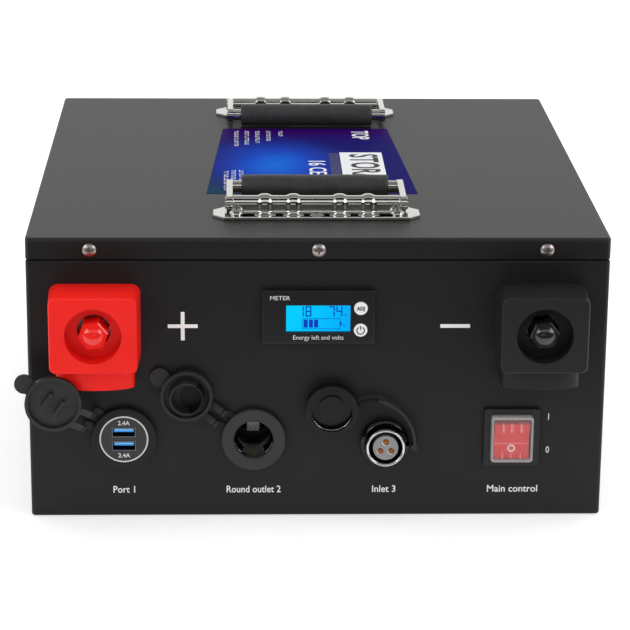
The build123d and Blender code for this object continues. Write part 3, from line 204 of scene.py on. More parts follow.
class Finish:
    """One material built from nodes round a Principled shader."""

    def __init__(self, name, **uniform):
        self.material = bpy.data.materials.new(name)
        self.material.use_nodes = True
        self.tree = self.material.node_tree
        self.shader = self.tree.nodes["Principled BSDF"]
        for socket, value in uniform.items():
            self.put(socket.replace("_", " "), value)

    def node(self, kind, settings=None, out=0, sockets=None):
        """Add a node: its settings first, then values or links for its sockets, by name or number."""
        node = self.tree.nodes.new(kind)
        for name, value in (settings or {}).items():
            setattr(node, name, value)
        for key, value in (sockets or {}).items():
            self.feed(node.inputs[key], value)
        return Value(self.tree, node.outputs[out])

    def feed(self, socket, value):
        """Link a value to a socket, or set the socket's own number or colour."""
        if isinstance(value, Value):
            self.tree.links.new(value.socket, socket)
        elif socket.type == "RGBA" and len(value) == 3:
            socket.default_value = (*value, 1.0)
        else:
            socket.default_value = value

    def put(self, socket, value):
        """Set or link one of the shader's own sockets."""
        self.feed(self.shader.inputs[socket], value)

    def place(self):
        """X, Y and Z of the point in metres, in the battery's own frame."""
        split = self.node("ShaderNodeSeparateXYZ", sockets={0: self.spot()})
        return [Value(self.tree, output) for output in split.socket.node.outputs]

    def spot(self):
        """Object coordinates as one vector."""
        return self.node("ShaderNodeTexCoord", out=3)

    def noise(self, size, detail=2.0, roughness=0.5):
        """Noise in 0..1 whose features are size metres across."""
        return self.node("ShaderNodeTexNoise", sockets={
            "Vector": self.spot(), "Scale": 1.0 / size, "Detail": detail, "Roughness": roughness})

    def bump(self, height, depth):
        """Tilt the surface by a height field, depth metres from low to high."""
        self.put("Normal", self.node("ShaderNodeBump", sockets={"Height": height, "Distance": depth, "Strength": 1.0}))

    def blend(self, factor, a, b):
        """Colour a where factor is 0 and b where it is 1."""
        return self.node("ShaderNodeMix", {"data_type": "RGBA"}, out=2, sockets={0: factor, 6: a, 7: b})


def shade(rgb, factor):
    """A colour made lighter or darker."""
    return tuple(min(1.0, channel * factor) for channel in rgb)


# ---- finishes ----------------------------------------------------------------
def powder_coat(name, rgb, roughness, grain, specular, edge=None):
    """Fine-grained powder coat: mottled colour, grainy gloss and a shallow orange-peel bump.

    Below the height edge, where one is given, the colour is painted much darker as painted shade."""
    finish = Finish(name, Specular_IOR_Level=specular)
    grains = finish.noise(grain, 3.0)
    cloud = finish.noise(0.09, 2.0)
    coat = finish.blend(cloud * 0.6 + grains * 0.4, shade(rgb, 0.82), shade(rgb, 1.2))
    if edge is not None:
        _, _, z = finish.place()
        # painted shade: much darker colour below the edge height
        coat = finish.blend(z.step(edge - 0.5 * MM, edge + 0.5 * MM), shade(rgb, 0.15), coat)
    finish.put("Base Color", coat)
    finish.put("Roughness", (grains - 0.5) * 0.16 + roughness)
    finish.bump(grains, 0.00006)
    return finish.material


def plated(name, rgb, roughness):
    """Bright plating with faint polishing streaks and small pits."""
    finish = Finish(name, Metallic=1.0)
    stain = finish.noise(0.006, 3.0)
    finish.put("Base Color", finish.blend(stain, shade(rgb, 0.86), shade(rgb, 1.05)))
    fine = finish.noise(0.0012, 4.0)
    finish.put("Roughness", stain * 0.08 + fine * 0.08 + roughness)
    finish.bump(fine, 0.00001)
    return finish.material


def moulded(name, rgb, roughness=0.45, specular=0.5, texture=0.0006):
    """Moulded plastic with a fine spark texture and slight flow mottling."""
    finish = Finish(name, Specular_IOR_Level=specular)
    flow = finish.noise(0.02, 2.0)
    fine = finish.noise(texture, 2.0)
    finish.put("Base Color", finish.blend(flow, shade(rgb, 0.9), shade(rgb, 1.1)))
    finish.put("Roughness", (fine - 0.5) * 0.15 + roughness)
    finish.bump(fine, 0.00003)
    return finish.material


def rubber(name, rgb, roughness=0.62):
    """Matt rubber with dust in its grain."""
    finish = Finish(name, Specular_IOR_Level=0.4)
    dust = finish.noise(0.004, 4.0, 0.6)
    fine = finish.noise(0.0005, 2.0)
    finish.put("Base Color", finish.blend(dust.step(0.4, 0.75), rgb, shade(rgb, 1.45)))
    finish.put("Roughness", (dust - 0.5) * 0.2 + roughness)
    finish.bump(fine, 0.00004)
    return finish.material


def ink(name, rgb):
    """Screen-printed ink, very slightly uneven."""
    finish = Finish(name, Roughness=0.55, Specular_IOR_Level=0.3)
    patch = finish.noise(0.0009, 2.0)
    finish.put("Base Color", finish.blend(patch, shade(rgb, 0.9), shade(rgb, 1.04)))
    return finish.material


def glowing(name, rgb, strength):
    """Backlit display: cyan at its left, bluer towards its right and lower edges."""
    finish = Finish(name, Roughness=0.2, Specular_IOR_Level=0.15, Base_Color=(0.0, 0.02, 0.05),
                    Emission_Strength=strength)
    x, _, z = finish.place()
    low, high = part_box("meter_lcd")
    across = (x - low.x) / (high.x - low.x)
    up = (z - low.z) / (high.z - low.z)
    lamp = (1.15 - across * 0.7) * (up * 0.2 + 0.85)
    finish.put("Emission Color", finish.blend(lamp.clamp(), rgb, (0.0, 0.60, 0.97)))
    return finish.material


def label_print(name, settings):
    """Print: deep blue with a purple far edge, a wide blue glow with a brighter core, a dark near left corner."""
    finish = Finish(name, Roughness=0.6, Specular_IOR_Level=0.03)
    x, y, _ = finish.place()
    low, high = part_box("top_label")
    u = (x - low.x) / (high.x - low.x)
    v = (y - low.y) / (high.y - low.y)
    du = u - 0.34
    dv = v - 0.42
    cloud = finish.noise(0.035, 3.0) - 0.5
    reach = (du * du * 1.5 + dv * dv * 1.1).math("SQRT") + cloud * 0.12
    glow = 1.0 - reach.step(0.02, 0.54)
    core = 1.0 - reach.step(0.0, 0.26)
    corner = 1.0 - (u + v * 0.8).step(0.0, 0.34)
    base = finish.blend(v.step(0.74, 1.0), settings.deep, (0.022, 0.0, 0.09))
    blue = finish.blend(glow, base, settings.bright)
    lit = finish.blend(core * 0.8, blue, (0.0, 0.12, 0.55))
    finish.put("Base Color", finish.blend(corner, lit, (0.0, 0.035, 0.085)))
    return finish.material


def rocker_plastic(name):
    """Red plastic with painted shade along its top and a pale painted highlight across its lower half."""
    finish = Finish(name, Roughness=0.3, Specular_IOR_Level=0.4)
    _, _, z = finish.place()
    rise = z - centre_of("switch_frame").z
    # painted shade: darker red along the rocker's top end
    strip = rise.step(8.6 * MM, 9.0 * MM)
    # painted highlight: a pale band across the lower half
    line = rise.step(-3.9 * MM, -3.7 * MM) * (1.0 - rise.step(-3.4 * MM, -3.2 * MM))
    red = finish.blend(strip, (0.72, 0.012, 0.012), (0.22, 0.005, 0.005))
    finish.put("Base Color", finish.blend(line * 0.6, red, (0.9, 0.35, 0.33)))
    return finish.material


def connector_plating(name, front):
    """Bright rim on a shell whose thread and collar are blackened."""
    finish = Finish(name, Metallic=1.0)
    _, y, _ = finish.place()
    behind = y.step(front + 1.3 * MM, front + 1.9 * MM)
    fine = finish.noise(0.0012, 4.0)
    finish.put("Base Color", finish.blend(behind, (0.62, 0.62, 0.63), (0.035, 0.035, 0.036)))
    finish.put("Roughness", fine * 0.12 + 0.1)
    return finish.material


def plug_rubber(name, rgb, node, radius):
    """Matt rubber with painted shade that makes it much darker inside the plug."""
    finish = Finish(name, Specular_IOR_Level=0.35)
    x, _, z = finish.place()
    low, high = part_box(node)
    half = (high.z - low.z) / 2
    dx = x - (high.x - half)
    dz = z - (low.z + high.z) / 2
    # painted shade: near black inside the plug's bore
    hollow_shade = 1.0 - (dx * dx + dz * dz).math("SQRT").step(radius - 0.3 * MM, radius + 0.1 * MM)
    dust = finish.noise(0.004, 4.0, 0.6)
    skin = finish.blend(dust.step(0.4, 0.75), rgb, shade(rgb, 1.4))
    finish.put("Base Color", finish.blend(hollow_shade, skin, (0.001, 0.001, 0.001)))
    finish.put("Roughness", (dust - 0.5) * 0.2 + 0.55)
    return finish.material


def clear_boot(name):
    """Clear soft plastic: nearly unseen in the middle, milky along its border and its foot."""
    finish = Finish(name, Base_Color=(0.92, 0.90, 0.90), IOR=1.25, Specular_IOR_Level=0.4)
    x, _, z = finish.place()
    low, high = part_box("switch_cover")
    middle = (low + high) / 2
    wide = (high.x - low.x) / 2
    tall = (high.z - low.z) / 2
    side = (x - middle.x).math("ABSOLUTE").step(wide - 1.6 * MM, wide - 0.9 * MM)
    end = (z - middle.z).math("ABSOLUTE").step(tall - 1.8 * MM, tall - 1.0 * MM)
    haze = finish.noise(0.003, 3.0)
    finish.put("Roughness", haze * 0.12 + 0.12)
    finish.put("Alpha", side.math("MAXIMUM", end) * 0.26 + haze * 0.05 + 0.03)
    return finish.material


def looked_at(tree):
    """1 where the camera, a mirror or glass looks, 0 for the light that falls on things."""
    seen = tree.nodes.new("ShaderNodeLightPath")
    flag = Value(tree, seen.outputs["Is Camera Ray"])
    for name in ("Is Glossy Ray", "Is Transmission Ray"):
        flag = flag.math("MAXIMUM", Value(tree, seen.outputs[name]))
    return flag


def stick(material, *nodes):
    """Give CAD nodes a finish."""
    for name in nodes:
        slots = NODES[name].material_slots
        if not slots:
            NODES[name].data.materials.append(material)
        for slot in slots:
            slot.material = material


# ---- surfaces ------------------------------------------------------------------
def quads(rows, columns, wrap_rows, wrap_columns, start=0):
    """Corner numbers of the faces of a grid of points."""
    row = np.arange(rows if wrap_rows else rows - 1)
    column = np.arange(columns if wrap_columns else columns - 1)
    r, c = np.meshgrid(row, column, indexing="ij")
    r2 = (r + 1) % rows
    c2 = (c + 1) % columns
    return start + np.stack([r * columns + c, r2 * columns + c, r2 * columns + c2, r * columns + c2], -1).reshape(-1, 4)


def add_object(name, data):
    """An object that holds the data, linked into the scene."""
    thing = bpy.data.objects.new(name, data)
    bpy.context.scene.collection.objects.link(thing)
    return thing


def make_piece(name, points, faces, material, body, smooth=True):
    """Put arrays of points and faces into a mesh object that rides on a body."""
    mesh = bpy.data.meshes.new(name)
    mesh.from_pydata(np.asarray(points, float).reshape(-1, 3).tolist(), [], [list(face) for face in faces])
    mesh.validate()
    mesh.update()
    mesh.shade_smooth() if smooth else mesh.shade_flat()
    mesh.materials.append(material)
    piece = add_object(name, mesh)
    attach(piece, body)
    return piece


def outward(piece):
    """Turn every face of a closed piece outwards."""
    mesh = bmesh.new()
    mesh.from_mesh(piece.data)
    bmesh.ops.remove_doubles(mesh, verts=mesh.verts, dist=1e-7)
    bmesh.ops.recalc_face_normals(mesh, faces=mesh.faces)
    mesh.to_mesh(piece.data)
    mesh.free()
    return piece


def turned(profile, steps=96, wobble=None):
    """Surface of revolution: each (radius, out) of the profile goes round the out axis.

    x = r cos a, y = r sin a, out = o, with r times 1 + wobble(a) where a wobble is given."""
    profile = np.asarray(profile, float)
    angle = np.linspace(0, 2 * pi, steps, endpoint=False)
    radius = np.repeat(profile[:, :1], steps, 1)
    if wobble is not None:
        radius = radius + wobble(angle[None, :], profile[:, :1], profile[:, 1:])
    out = np.repeat(profile[:, 1:], steps, 1)
    points = np.stack([radius * np.cos(angle), radius * np.sin(angle), out], -1)
    return points, quads(len(profile), steps, True, True)


def on_panel(points, x, z):
    """Points in (right, up, out) about a place on the front panel, as points of the row frame in metres."""
    points = np.asarray(points, float)
    return np.stack([points[..., 0] + x, PANEL_Y - points[..., 2], points[..., 1] + z], -1)


def turned_piece(name, profile, x, z, material, body, steps=96, wobble=None, smooth=True):
    """A closed turned piece whose axis stands out of the panel at (x, z); its profile is in millimetres."""
    points, faces = turned([(radius * MM, out * MM) for radius, out in profile], steps, wobble)
    return outward(make_piece(name, on_panel(points, x, z), faces, material, body, smooth))


def arc(centre, radius, start, end, count=9):
    """Points on a circle's arc, from one angle in degrees to another."""
    angle = np.radians(np.linspace(start, end, count))
    return np.stack([centre[0] + radius * np.cos(angle), centre[1] + radius * np.sin(angle)], -1)


def carried(section, xs):
    """A closed section of (y, z) points carried along X, with flat ends.

    section(x) gives the points at one place, so it may change along the way."""
    rings = np.stack([np.column_stack([np.full(len(section(x)), x), section(x)]) for x in xs])
    rows, columns = rings.shape[:2]
    faces = [list(face) for face in quads(rows, columns, False, True)]
    faces += [list(range(columns)), list(range((rows - 1) * columns, rows * columns))]
    return rings, faces


def words(name, text, size, x, y, z, material, body, slot, facing="panel", turn=0.0, squeeze=1.0, bold=0.0):
    """Lettering as a thin mesh: on the front panel, or flat on the lid, centred at a place."""
    curve = bpy.data.curves.new(name, "FONT")
    curve.body = text
    curve.size = size
    curve.align_x = "CENTER"
    curve.align_y = "CENTER"
    curve.offset = bold
    curve.extrude = 0.00002
    curve.resolution_u = 3
    source = add_object(name + "_source", curve)
    bpy.context.view_layer.update()
    mesh = bpy.data.meshes.new_from_object(source)
    bpy.data.objects.remove(source)
    bpy.data.curves.remove(curve)
    stand = Matrix.Rotation(pi / 2, 4, "X") if facing == "panel" else Matrix.Identity(4)
    drawn = Matrix.Rotation(radians(turn), 4, "Z") @ Matrix.Diagonal((squeeze, 1, 1, 1))
    mesh.transform(Matrix.Translation((x, y, z)) @ stand @ drawn)
    mesh.materials.clear()
    mesh.materials.append(material)
    piece = add_object(name, mesh)
    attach(piece, body)
    return piece


def plates(name, boxes, thickness, material, body, facing="panel", base=0.0):
    """Thin rectangles, each (x0, x1, up0, up1), on the panel or the lid, base above it.

    Each is a box of eight corners; all corners are worked out as one array."""
    boxes = np.asarray(boxes, float)
    corner = np.array([[i & 1, (i >> 1) & 1, (i >> 2) & 1] for i in range(8)])
    x = boxes[:, [0, 1]][:, corner[:, 0]]
    up = boxes[:, [2, 3]][:, corner[:, 1]]
    out = np.broadcast_to(base + thickness * corner[:, 2], x.shape)
    if facing == "panel":
        points = np.stack([x, PANEL_Y - out, up], -1)
    else:
        points = np.stack([x, up, LID_TOP + out], -1)
    sides = np.array([[0, 2, 3, 1], [4, 5, 7, 6], [0, 1, 5, 4], [2, 6, 7, 3], [0, 4, 6, 2], [1, 3, 7, 5]])
    faces = (np.arange(len(boxes))[:, None, None] * 8 + sides).reshape(-1, 4)
    return outward(make_piece(name, points, faces, material, body, smooth=False))


def stage_sheet(name, corners, finish):
    """One flat face of the stage."""
    mesh = bpy.data.meshes.new(name)
    mesh.from_pydata(corners, [], [(0, 1, 2, 3)])
    mesh.materials.append(finish.material)
    sheet = add_object(name, mesh)
    return sheet


# ---- operators -------------------------------------------------------------------
class BatteryOperator(bpy.types.Operator):
    """Base of the battery's operators."""
    bl_options = {"REGISTER", "UNDO"}

    def settings(self, group):
        """The property group of that name on the scene."""
        return getattr(bpy.context.scene, group)


class BATTERY_OT_stage(BatteryOperator):
    """Camera, pale floor, surrounding light and soft lamps"""
    bl_idname = "battery.stage"
    bl_label = "Stage"

    def execute(self, context):
        stage = self.settings("battery_stage")
        self.camera(context, stage)
        self.surround(context, stage)
        self.floor()
        self.cards()
        self.lamps(stage)
        context.scene.view_settings.view_transform = "Standard"
        return {"FINISHED"}

    @staticmethod
    def camera(context, stage):
        """Camera whose axes come from its pitch, yaw and roll."""
        yaw, pitch, roll = (radians(angle) for angle in (stage.yaw, stage.pitch, stage.roll))
        forward = np.array([sin(yaw) * cos(pitch), cos(yaw) * cos(pitch), -sin(pitch)])
        right = np.array([cos(yaw), -sin(yaw), 0.0])
        up = np.cross(right, forward)
        rolled_right = right * cos(roll) + up * sin(roll)
        rolled_up = up * cos(roll) - right * sin(roll)
        matrix = Matrix.Identity(4)
        for column, axis in enumerate((rolled_right, rolled_up, -forward, stage.camera)):
            for row in range(3):
                matrix[row][column] = axis[row]
        data = bpy.data.cameras.new("camera")
        data.sensor_width = 36.0
        data.lens = stage.focal
        camera = add_object("camera", data)
        camera.matrix_world = matrix
        context.scene.camera = camera

    @staticmethod
    def surround(context, stage):
        """White to the camera, mirrors and glass, and a plain level for the rest."""
        world = bpy.data.worlds.new("surround")
        world.use_nodes = True
        tree = world.node_tree
        strength = looked_at(tree) * (1.0 - stage.world) + stage.world
        back = tree.nodes["Background"]
        back.inputs["Color"].default_value = (1, 1, 1, 1)
        tree.links.new(strength.socket, back.inputs["Strength"])
        context.scene.world = world

    @staticmethod
    def floor():
        """Pale floor, lifted towards white where the camera sees it."""
        size = 4.0
        level = CASE_LOW.z - 0.0002
        corners = [(-size, -size, level), (size, -size, level), (size, size, level), (-size, size, level)]
        finish = Finish("floor_paper", Base_Color=(0.92, 0.92, 0.92), Roughness=0.9, Specular_IOR_Level=0.1,
                        Emission_Strength=1.0)
        finish.put("Emission Color", finish.blend(looked_at(finish.tree), (0.0, 0.0, 0.0), (0.38, 0.38, 0.38)))
        stage_sheet("floor", corners, finish)

    @staticmethod
    def cards():
        """Cards that only mirrors see: black before the panel with a small white one, black and grey above."""
        front_y = CASE_LOW.y
        shapes = (
            ("front_card", 0.0, [(-2.2, front_y - 0.26, 0.0), (2.2, front_y - 0.26, 0.0),
                                 (2.2, front_y - 1.0, 0.75), (-2.2, front_y - 1.0, 0.75)]),
            ("strip_card", 0.0, [(-0.9, -0.75, 0.95), (0.9, -0.75, 0.95), (0.9, -0.30, 1.25), (-0.9, -0.30, 1.25)]),
            ("sheet_card", 0.30, [(-1.1, -0.22, 1.25), (1.1, -0.22, 1.25), (1.1, 1.0, 1.25), (-1.1, 1.0, 1.25)]),
            ("glint_card", 1.0, [(-0.16, -0.58, 0.12), (0.09, -0.58, 0.12), (0.09, -0.58, 0.21), (-0.16, -0.58, 0.21)]))
        for name, level, corners in shapes:
            finish = Finish(name, Base_Color=(0.004, 0.004, 0.004), Roughness=1.0, Specular_IOR_Level=0.0,
                            Emission_Color=(level, level, level), Emission_Strength=1.0)
            card = stage_sheet(name, corners, finish)
            card.visible_camera = False
            card.visible_diffuse = False
            card.visible_shadow = False
            card.visible_transmission = False

    @staticmethod
    def lamps(stage):
        """One wide soft lamp above and one at each side."""
        for name, place, size, power in (
                ("overhead", (0.1, 0.35, 1.3), 1.4, stage.overhead),
                ("left", (-1.5, -1.0, 0.9), 0.9, stage.side),
                ("right", (1.5, -0.8, 0.9), 0.9, stage.side)):
            data = bpy.data.lights.new(name, "AREA")
            data.size = size
            data.energy = power
            lamp = add_object(name, data)
            lamp.visible_glossy = name != "overhead"
            target = np.array([0.0, 0.0, 0.08])
            away = np.array(place) - target
            away = away / np.linalg.norm(away)
            side = np.cross([0.0, 1.0, 0.001], away)
            side = side / np.linalg.norm(side)
            up = np.cross(away, side)
            lamp.matrix_world = Matrix([[side[i], up[i], away[i], place[i]] for i in range(3)] + [[0, 0, 0, 1]])


class BATTERY_OT_case(BatteryOperator):
    """Powder coat on the tray and lid, and plated lid screws"""
    bl_idname = "battery.case"
    bl_label = "Case finish"

    def execute(self, context):
        case = self.settings("battery_case")
        stick(powder_coat("tray_paint", case.paint, case.roughness, case.grain, 0.28), "case_body")
        # the lid's skirt, more than 2 mm under its top, gets painted shade
        stick(powder_coat("lid_paint", case.lid_paint, case.roughness, case.grain, 0.5, LID_TOP - 2.0 * MM), "case_lid")
        stick(plated("screw_plating", (0.42, 0.38, 0.36), 0.28), "lid_screws", "handle_nuts")
        return {"FINISHED"}


class BATTERY_OT_inside(BatteryOperator):
    """Plain finishes on what the case hides"""
    bl_idname = "battery.inside"
    bl_label = "Inside finishes"

    def execute(self, context):
        finishes = (
            (moulded, "cell_wrap", (0.03, 0.09, 0.35), 0.4, ["cells"]),
            (plated, "bar_copper", (0.75, 0.36, 0.20), 0.25, ["busbars"]),
            (plated, "inner_steel", (0.55, 0.54, 0.52), 0.3, ["busbar_nuts", "charge_nut"]),
            (plated, "inner_brass", (0.70, 0.52, 0.22), 0.25,
             ["terminal_rear_nuts", "switch_blades", "socket_contact"]),
            (plated, "sink_aluminium", (0.62, 0.62, 0.64), 0.4, ["bms_heatsink"]),
            (moulded, "board_mask", (0.01, 0.12, 0.03), 0.35, ["bms_board", "meter_board"]),
            (moulded, "fibre_sheet", (0.62, 0.60, 0.52), 0.7, ["insulation_sheet"]),
            (moulded, "red_insulation", (0.5, 0.01, 0.01), 0.5, ["positive_cable"]),
            (moulded, "black_insulation", (0.015, 0.015, 0.015), 0.5,
             ["negative_cable", "terminal_insulators", "meter_housing", "usb_nut", "socket_nut"]))
        for make, name, rgb, roughness, nodes in finishes:
            stick(make(name, rgb, roughness), *nodes)
        return {"FINISHED"}


class BATTERY_OT_terminals(BatteryOperator):
    """Red and black covers, their nuts and the plated studs"""
    bl_idname = "battery.terminals"
    bl_label = "Terminals"

    def execute(self, context):
        terminal = self.settings("battery_terminals")
        red = moulded("red_cover", terminal.red, 0.36, 0.2, 0.0009)
        black = moulded("black_cover", terminal.black, 0.42, 0.22, 0.0009)
        stick(red, "positive_housing")
        stick(black, "negative_housing")
        stick(moulded("red_cap_nut", terminal.red, 0.14, 0.6, 0.0015), "positive_nut")
        stick(moulded("black_cap_nut", shade(terminal.black, 0.8), 0.16, 0.7, 0.0015), "negative_nut")
        steel = plated("stud_plating", (0.5, 0.49, 0.47), 0.25)
        stick(steel, "positive_stud", "negative_stud", "positive_washer", "negative_washer")
        return {"FINISHED"}


class BATTERY_OT_marks(BatteryOperator):
    """Printed signs and captions on the front panel"""
    bl_idname = "battery.marks"
    bl_label = "Panel marks"

    def execute(self, context):
        white = ink("panel_ink", self.settings("battery_case").ink)
        y = PANEL_Y - 0.00004
        sign_z = centre_of("positive_stud").z - 1.8 * MM
        plus_x = centre_of("positive_stud").x + 48.0 * MM
        minus_x = centre_of("negative_stud").x - 47.0 * MM
        half, stroke = 8.2 * MM, 1.05 * MM
        bars = [
            (plus_x - half, plus_x + half, sign_z - stroke, sign_z + stroke),
            (plus_x - stroke, plus_x + stroke, sign_z + stroke, sign_z + half),
            (plus_x - stroke, plus_x + stroke, sign_z - half, sign_z - stroke),
            (minus_x - half, minus_x + half, sign_z - stroke, sign_z + stroke)]
        plates("polarity_signs", bars, 0.05 * MM, white, "case")
        caption_z, caption_size, mark_size = 15.5 * MM, 5.7 * MM, 5.4 * MM
        captions = (
            ("caption_usb", "Port 1", centre_of("usb_body").x, 0.92),
            ("caption_socket", "Round outlet 2", centre_of("socket_body").x, 0.88),
            ("caption_charge", "Inlet 3", centre_of("charge_insert").x, 0.95),
            ("caption_switch", "Main control", centre_of("switch_frame").x + 1.5 * MM, 0.98))
        for name, text, x, squeeze in captions:
            words(name, text, caption_size, x, y, caption_z, white, "case", "button_white",
                  squeeze=squeeze, bold=0.05 * MM)
        low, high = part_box("switch_frame")
        middle = (low + high) / 2
        for name, text, rise in (("mark_on", "1", 11.4), ("mark_off", "0", -8.3)):
            words(name, text, mark_size, high.x + 5.0 * MM, y, middle.z + rise * MM, white, "case", "button_white",
                  squeeze=0.8)
        return {"FINISHED"}


SEGMENTS = {"0": "abcdef", "1": "bc", "2": "abged", "3": "abgcd", "4": "fgbc", "5": "afgcd", "6": "afgedc",
            "7": "abc", "8": "abcdefg", "9": "abcdfg"}


def digit_bars(figure, x, z, height, stroke):
    """Rectangles of one seven-segment figure whose lower left corner is at (x, z)."""
    width = height * 0.55
    gap = stroke * 0.25
    middle = height / 2
    runs = {
        "a": (gap, width - gap, height - stroke, height),
        "b": (width - stroke, width, middle + gap, height - gap),
        "c": (width - stroke, width, gap, middle - gap),
        "d": (gap, width - gap, 0, stroke),
        "e": (0, stroke, gap, middle - gap),
        "f": (0, stroke, middle + gap, height - gap),
        "g": (gap, width - gap, middle - stroke / 2, middle + stroke / 2)}
    return [(x + runs[s][0], x + runs[s][1], z + runs[s][2], z + runs[s][3]) for s in SEGMENTS[figure]]


class BATTERY_OT_meter(BatteryOperator):
    """Panel meter: fascia, lit display with figures and a charge bar, and two round buttons"""
    bl_idname = "battery.meter"
    bl_label = "Meter"

    def execute(self, context):
        meter = self.settings("battery_meter")
        stick(moulded("fascia_plastic", (0.008, 0.008, 0.009), 0.34, 0.4, 0.0005), "meter_fascia")
        stick(glowing("display_glass", meter.glow, meter.glow_strength), "meter_lcd")
        stick(moulded("button_plastic", (0.90, 0.90, 0.90), 0.3), "meter_set_button", "meter_power_button")
        self.figures(meter)
        self.lettering()
        return {"FINISHED"}

    @staticmethod
    def figures(meter):
        """Dark segments on the lit glass, placed from its upper left corner."""
        low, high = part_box("meter_lcd")
        left = low.x + 0.8 * MM
        top = high.z - 0.8 * MM
        out = PANEL_Y - low.y
        height = meter.digit_height
        bars = []
        for text, start in (("18", 6.4), ("74", 23.4)):
            for index, figure in enumerate(text):
                x = left + start * MM + index * height * 0.70
                bars += digit_bars(figure, x, top - 0.9 * MM - height, height, meter.stroke)
        outline = [(9.0, 29.8, 7.9, 8.2), (9.0, 29.8, 13.8, 14.1), (9.0, 9.3, 7.9, 14.1), (29.5, 29.8, 7.9, 14.1),
                   (29.8, 30.5, 10.0, 12.0)]
        charge = [(9.7 + 2.85 * i, 11.9 + 2.85 * i, 8.6, 13.2) for i in range(3)]
        gauge = np.array(outline + charge) * MM
        bars += [(left + x0, left + x1, top - down1, top - down0) for x0, x1, down0, down1 in gauge]
        deep = Finish("display_segments", Roughness=0.3, Specular_IOR_Level=0.15, Emission_Strength=1.0)
        deep.put("Base Color", (0.0, 0.02, 0.2))
        deep.put("Emission Color", deep.blend(deep.noise(0.004), (0.0, 0.015, 0.30), (0.0, 0.03, 0.40)))
        plates("display_figures", bars, 0.04 * MM, deep.material, "case", base=out + 0.01 * MM)
        for name, text, x, down in (("display_percent", "%", 32.6, 6.2), ("display_volt", "V", 32.0, 12.4)):
            words(name, text, 2.6 * MM, left + x * MM, PANEL_Y - out - INK_T, top - down * MM,
                  deep.material, "case", "lcd")

    @staticmethod
    def lettering():
        """Captions above and under the display, and the signs on the buttons."""
        white = ink("meter_ink", (0.75, 0.75, 0.75))
        low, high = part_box("meter_lcd")
        frame_low, frame_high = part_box("meter_fascia")
        face = frame_low.y - INK_T
        words("meter_caption", "Energy left and volts", 3.6 * MM, (low.x + high.x) / 2, face, low.z - 2.4 * MM,
              white, "case", "button_white", squeeze=0.95)
        words("meter_heading", "METER", 3.4 * MM, frame_low.x + 10.0 * MM, face, frame_high.z - 4.4 * MM,
              white, "case", "button_white", squeeze=1.1)
        black = ink("button_ink", (0.02, 0.02, 0.02))
        button = centre_of("meter_set_button")
        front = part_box("meter_set_button")[0].y - INK_T
        words("set_sign", "ADJ", 2.9 * MM, button.x, front, button.z, black, "set_button", "button_white",
              squeeze=0.9, bold=0.00012)
        button = centre_of("meter_power_button")
        out = PANEL_Y - front
        angle = np.radians(np.linspace(120, 420, 40))
        inner, outer = 1.75 * MM, 2.35 * MM
        ring = np.stack([np.stack([r * np.cos(angle), r * np.sin(angle), np.full(40, out + o)], -1)
                         for r, o in ((inner, 0), (outer, 0), (outer, INK_T), (inner, INK_T))])
        faces = [list(f) for f in quads(4, 40, True, False)] + [[0, 40, 80, 120], [39, 79, 119, 159]]
        outward(make_piece("power_sign_ring", on_panel(ring, button.x, button.z), faces, black,
                           "power_button", smooth=False))
        bar = [(button.x - 0.3 * MM, button.x + 0.3 * MM, button.z + 0.4 * MM, button.z + 2.6 * MM)]
        plates("power_sign_bar", bar, INK_T, black, "power_button", base=out)


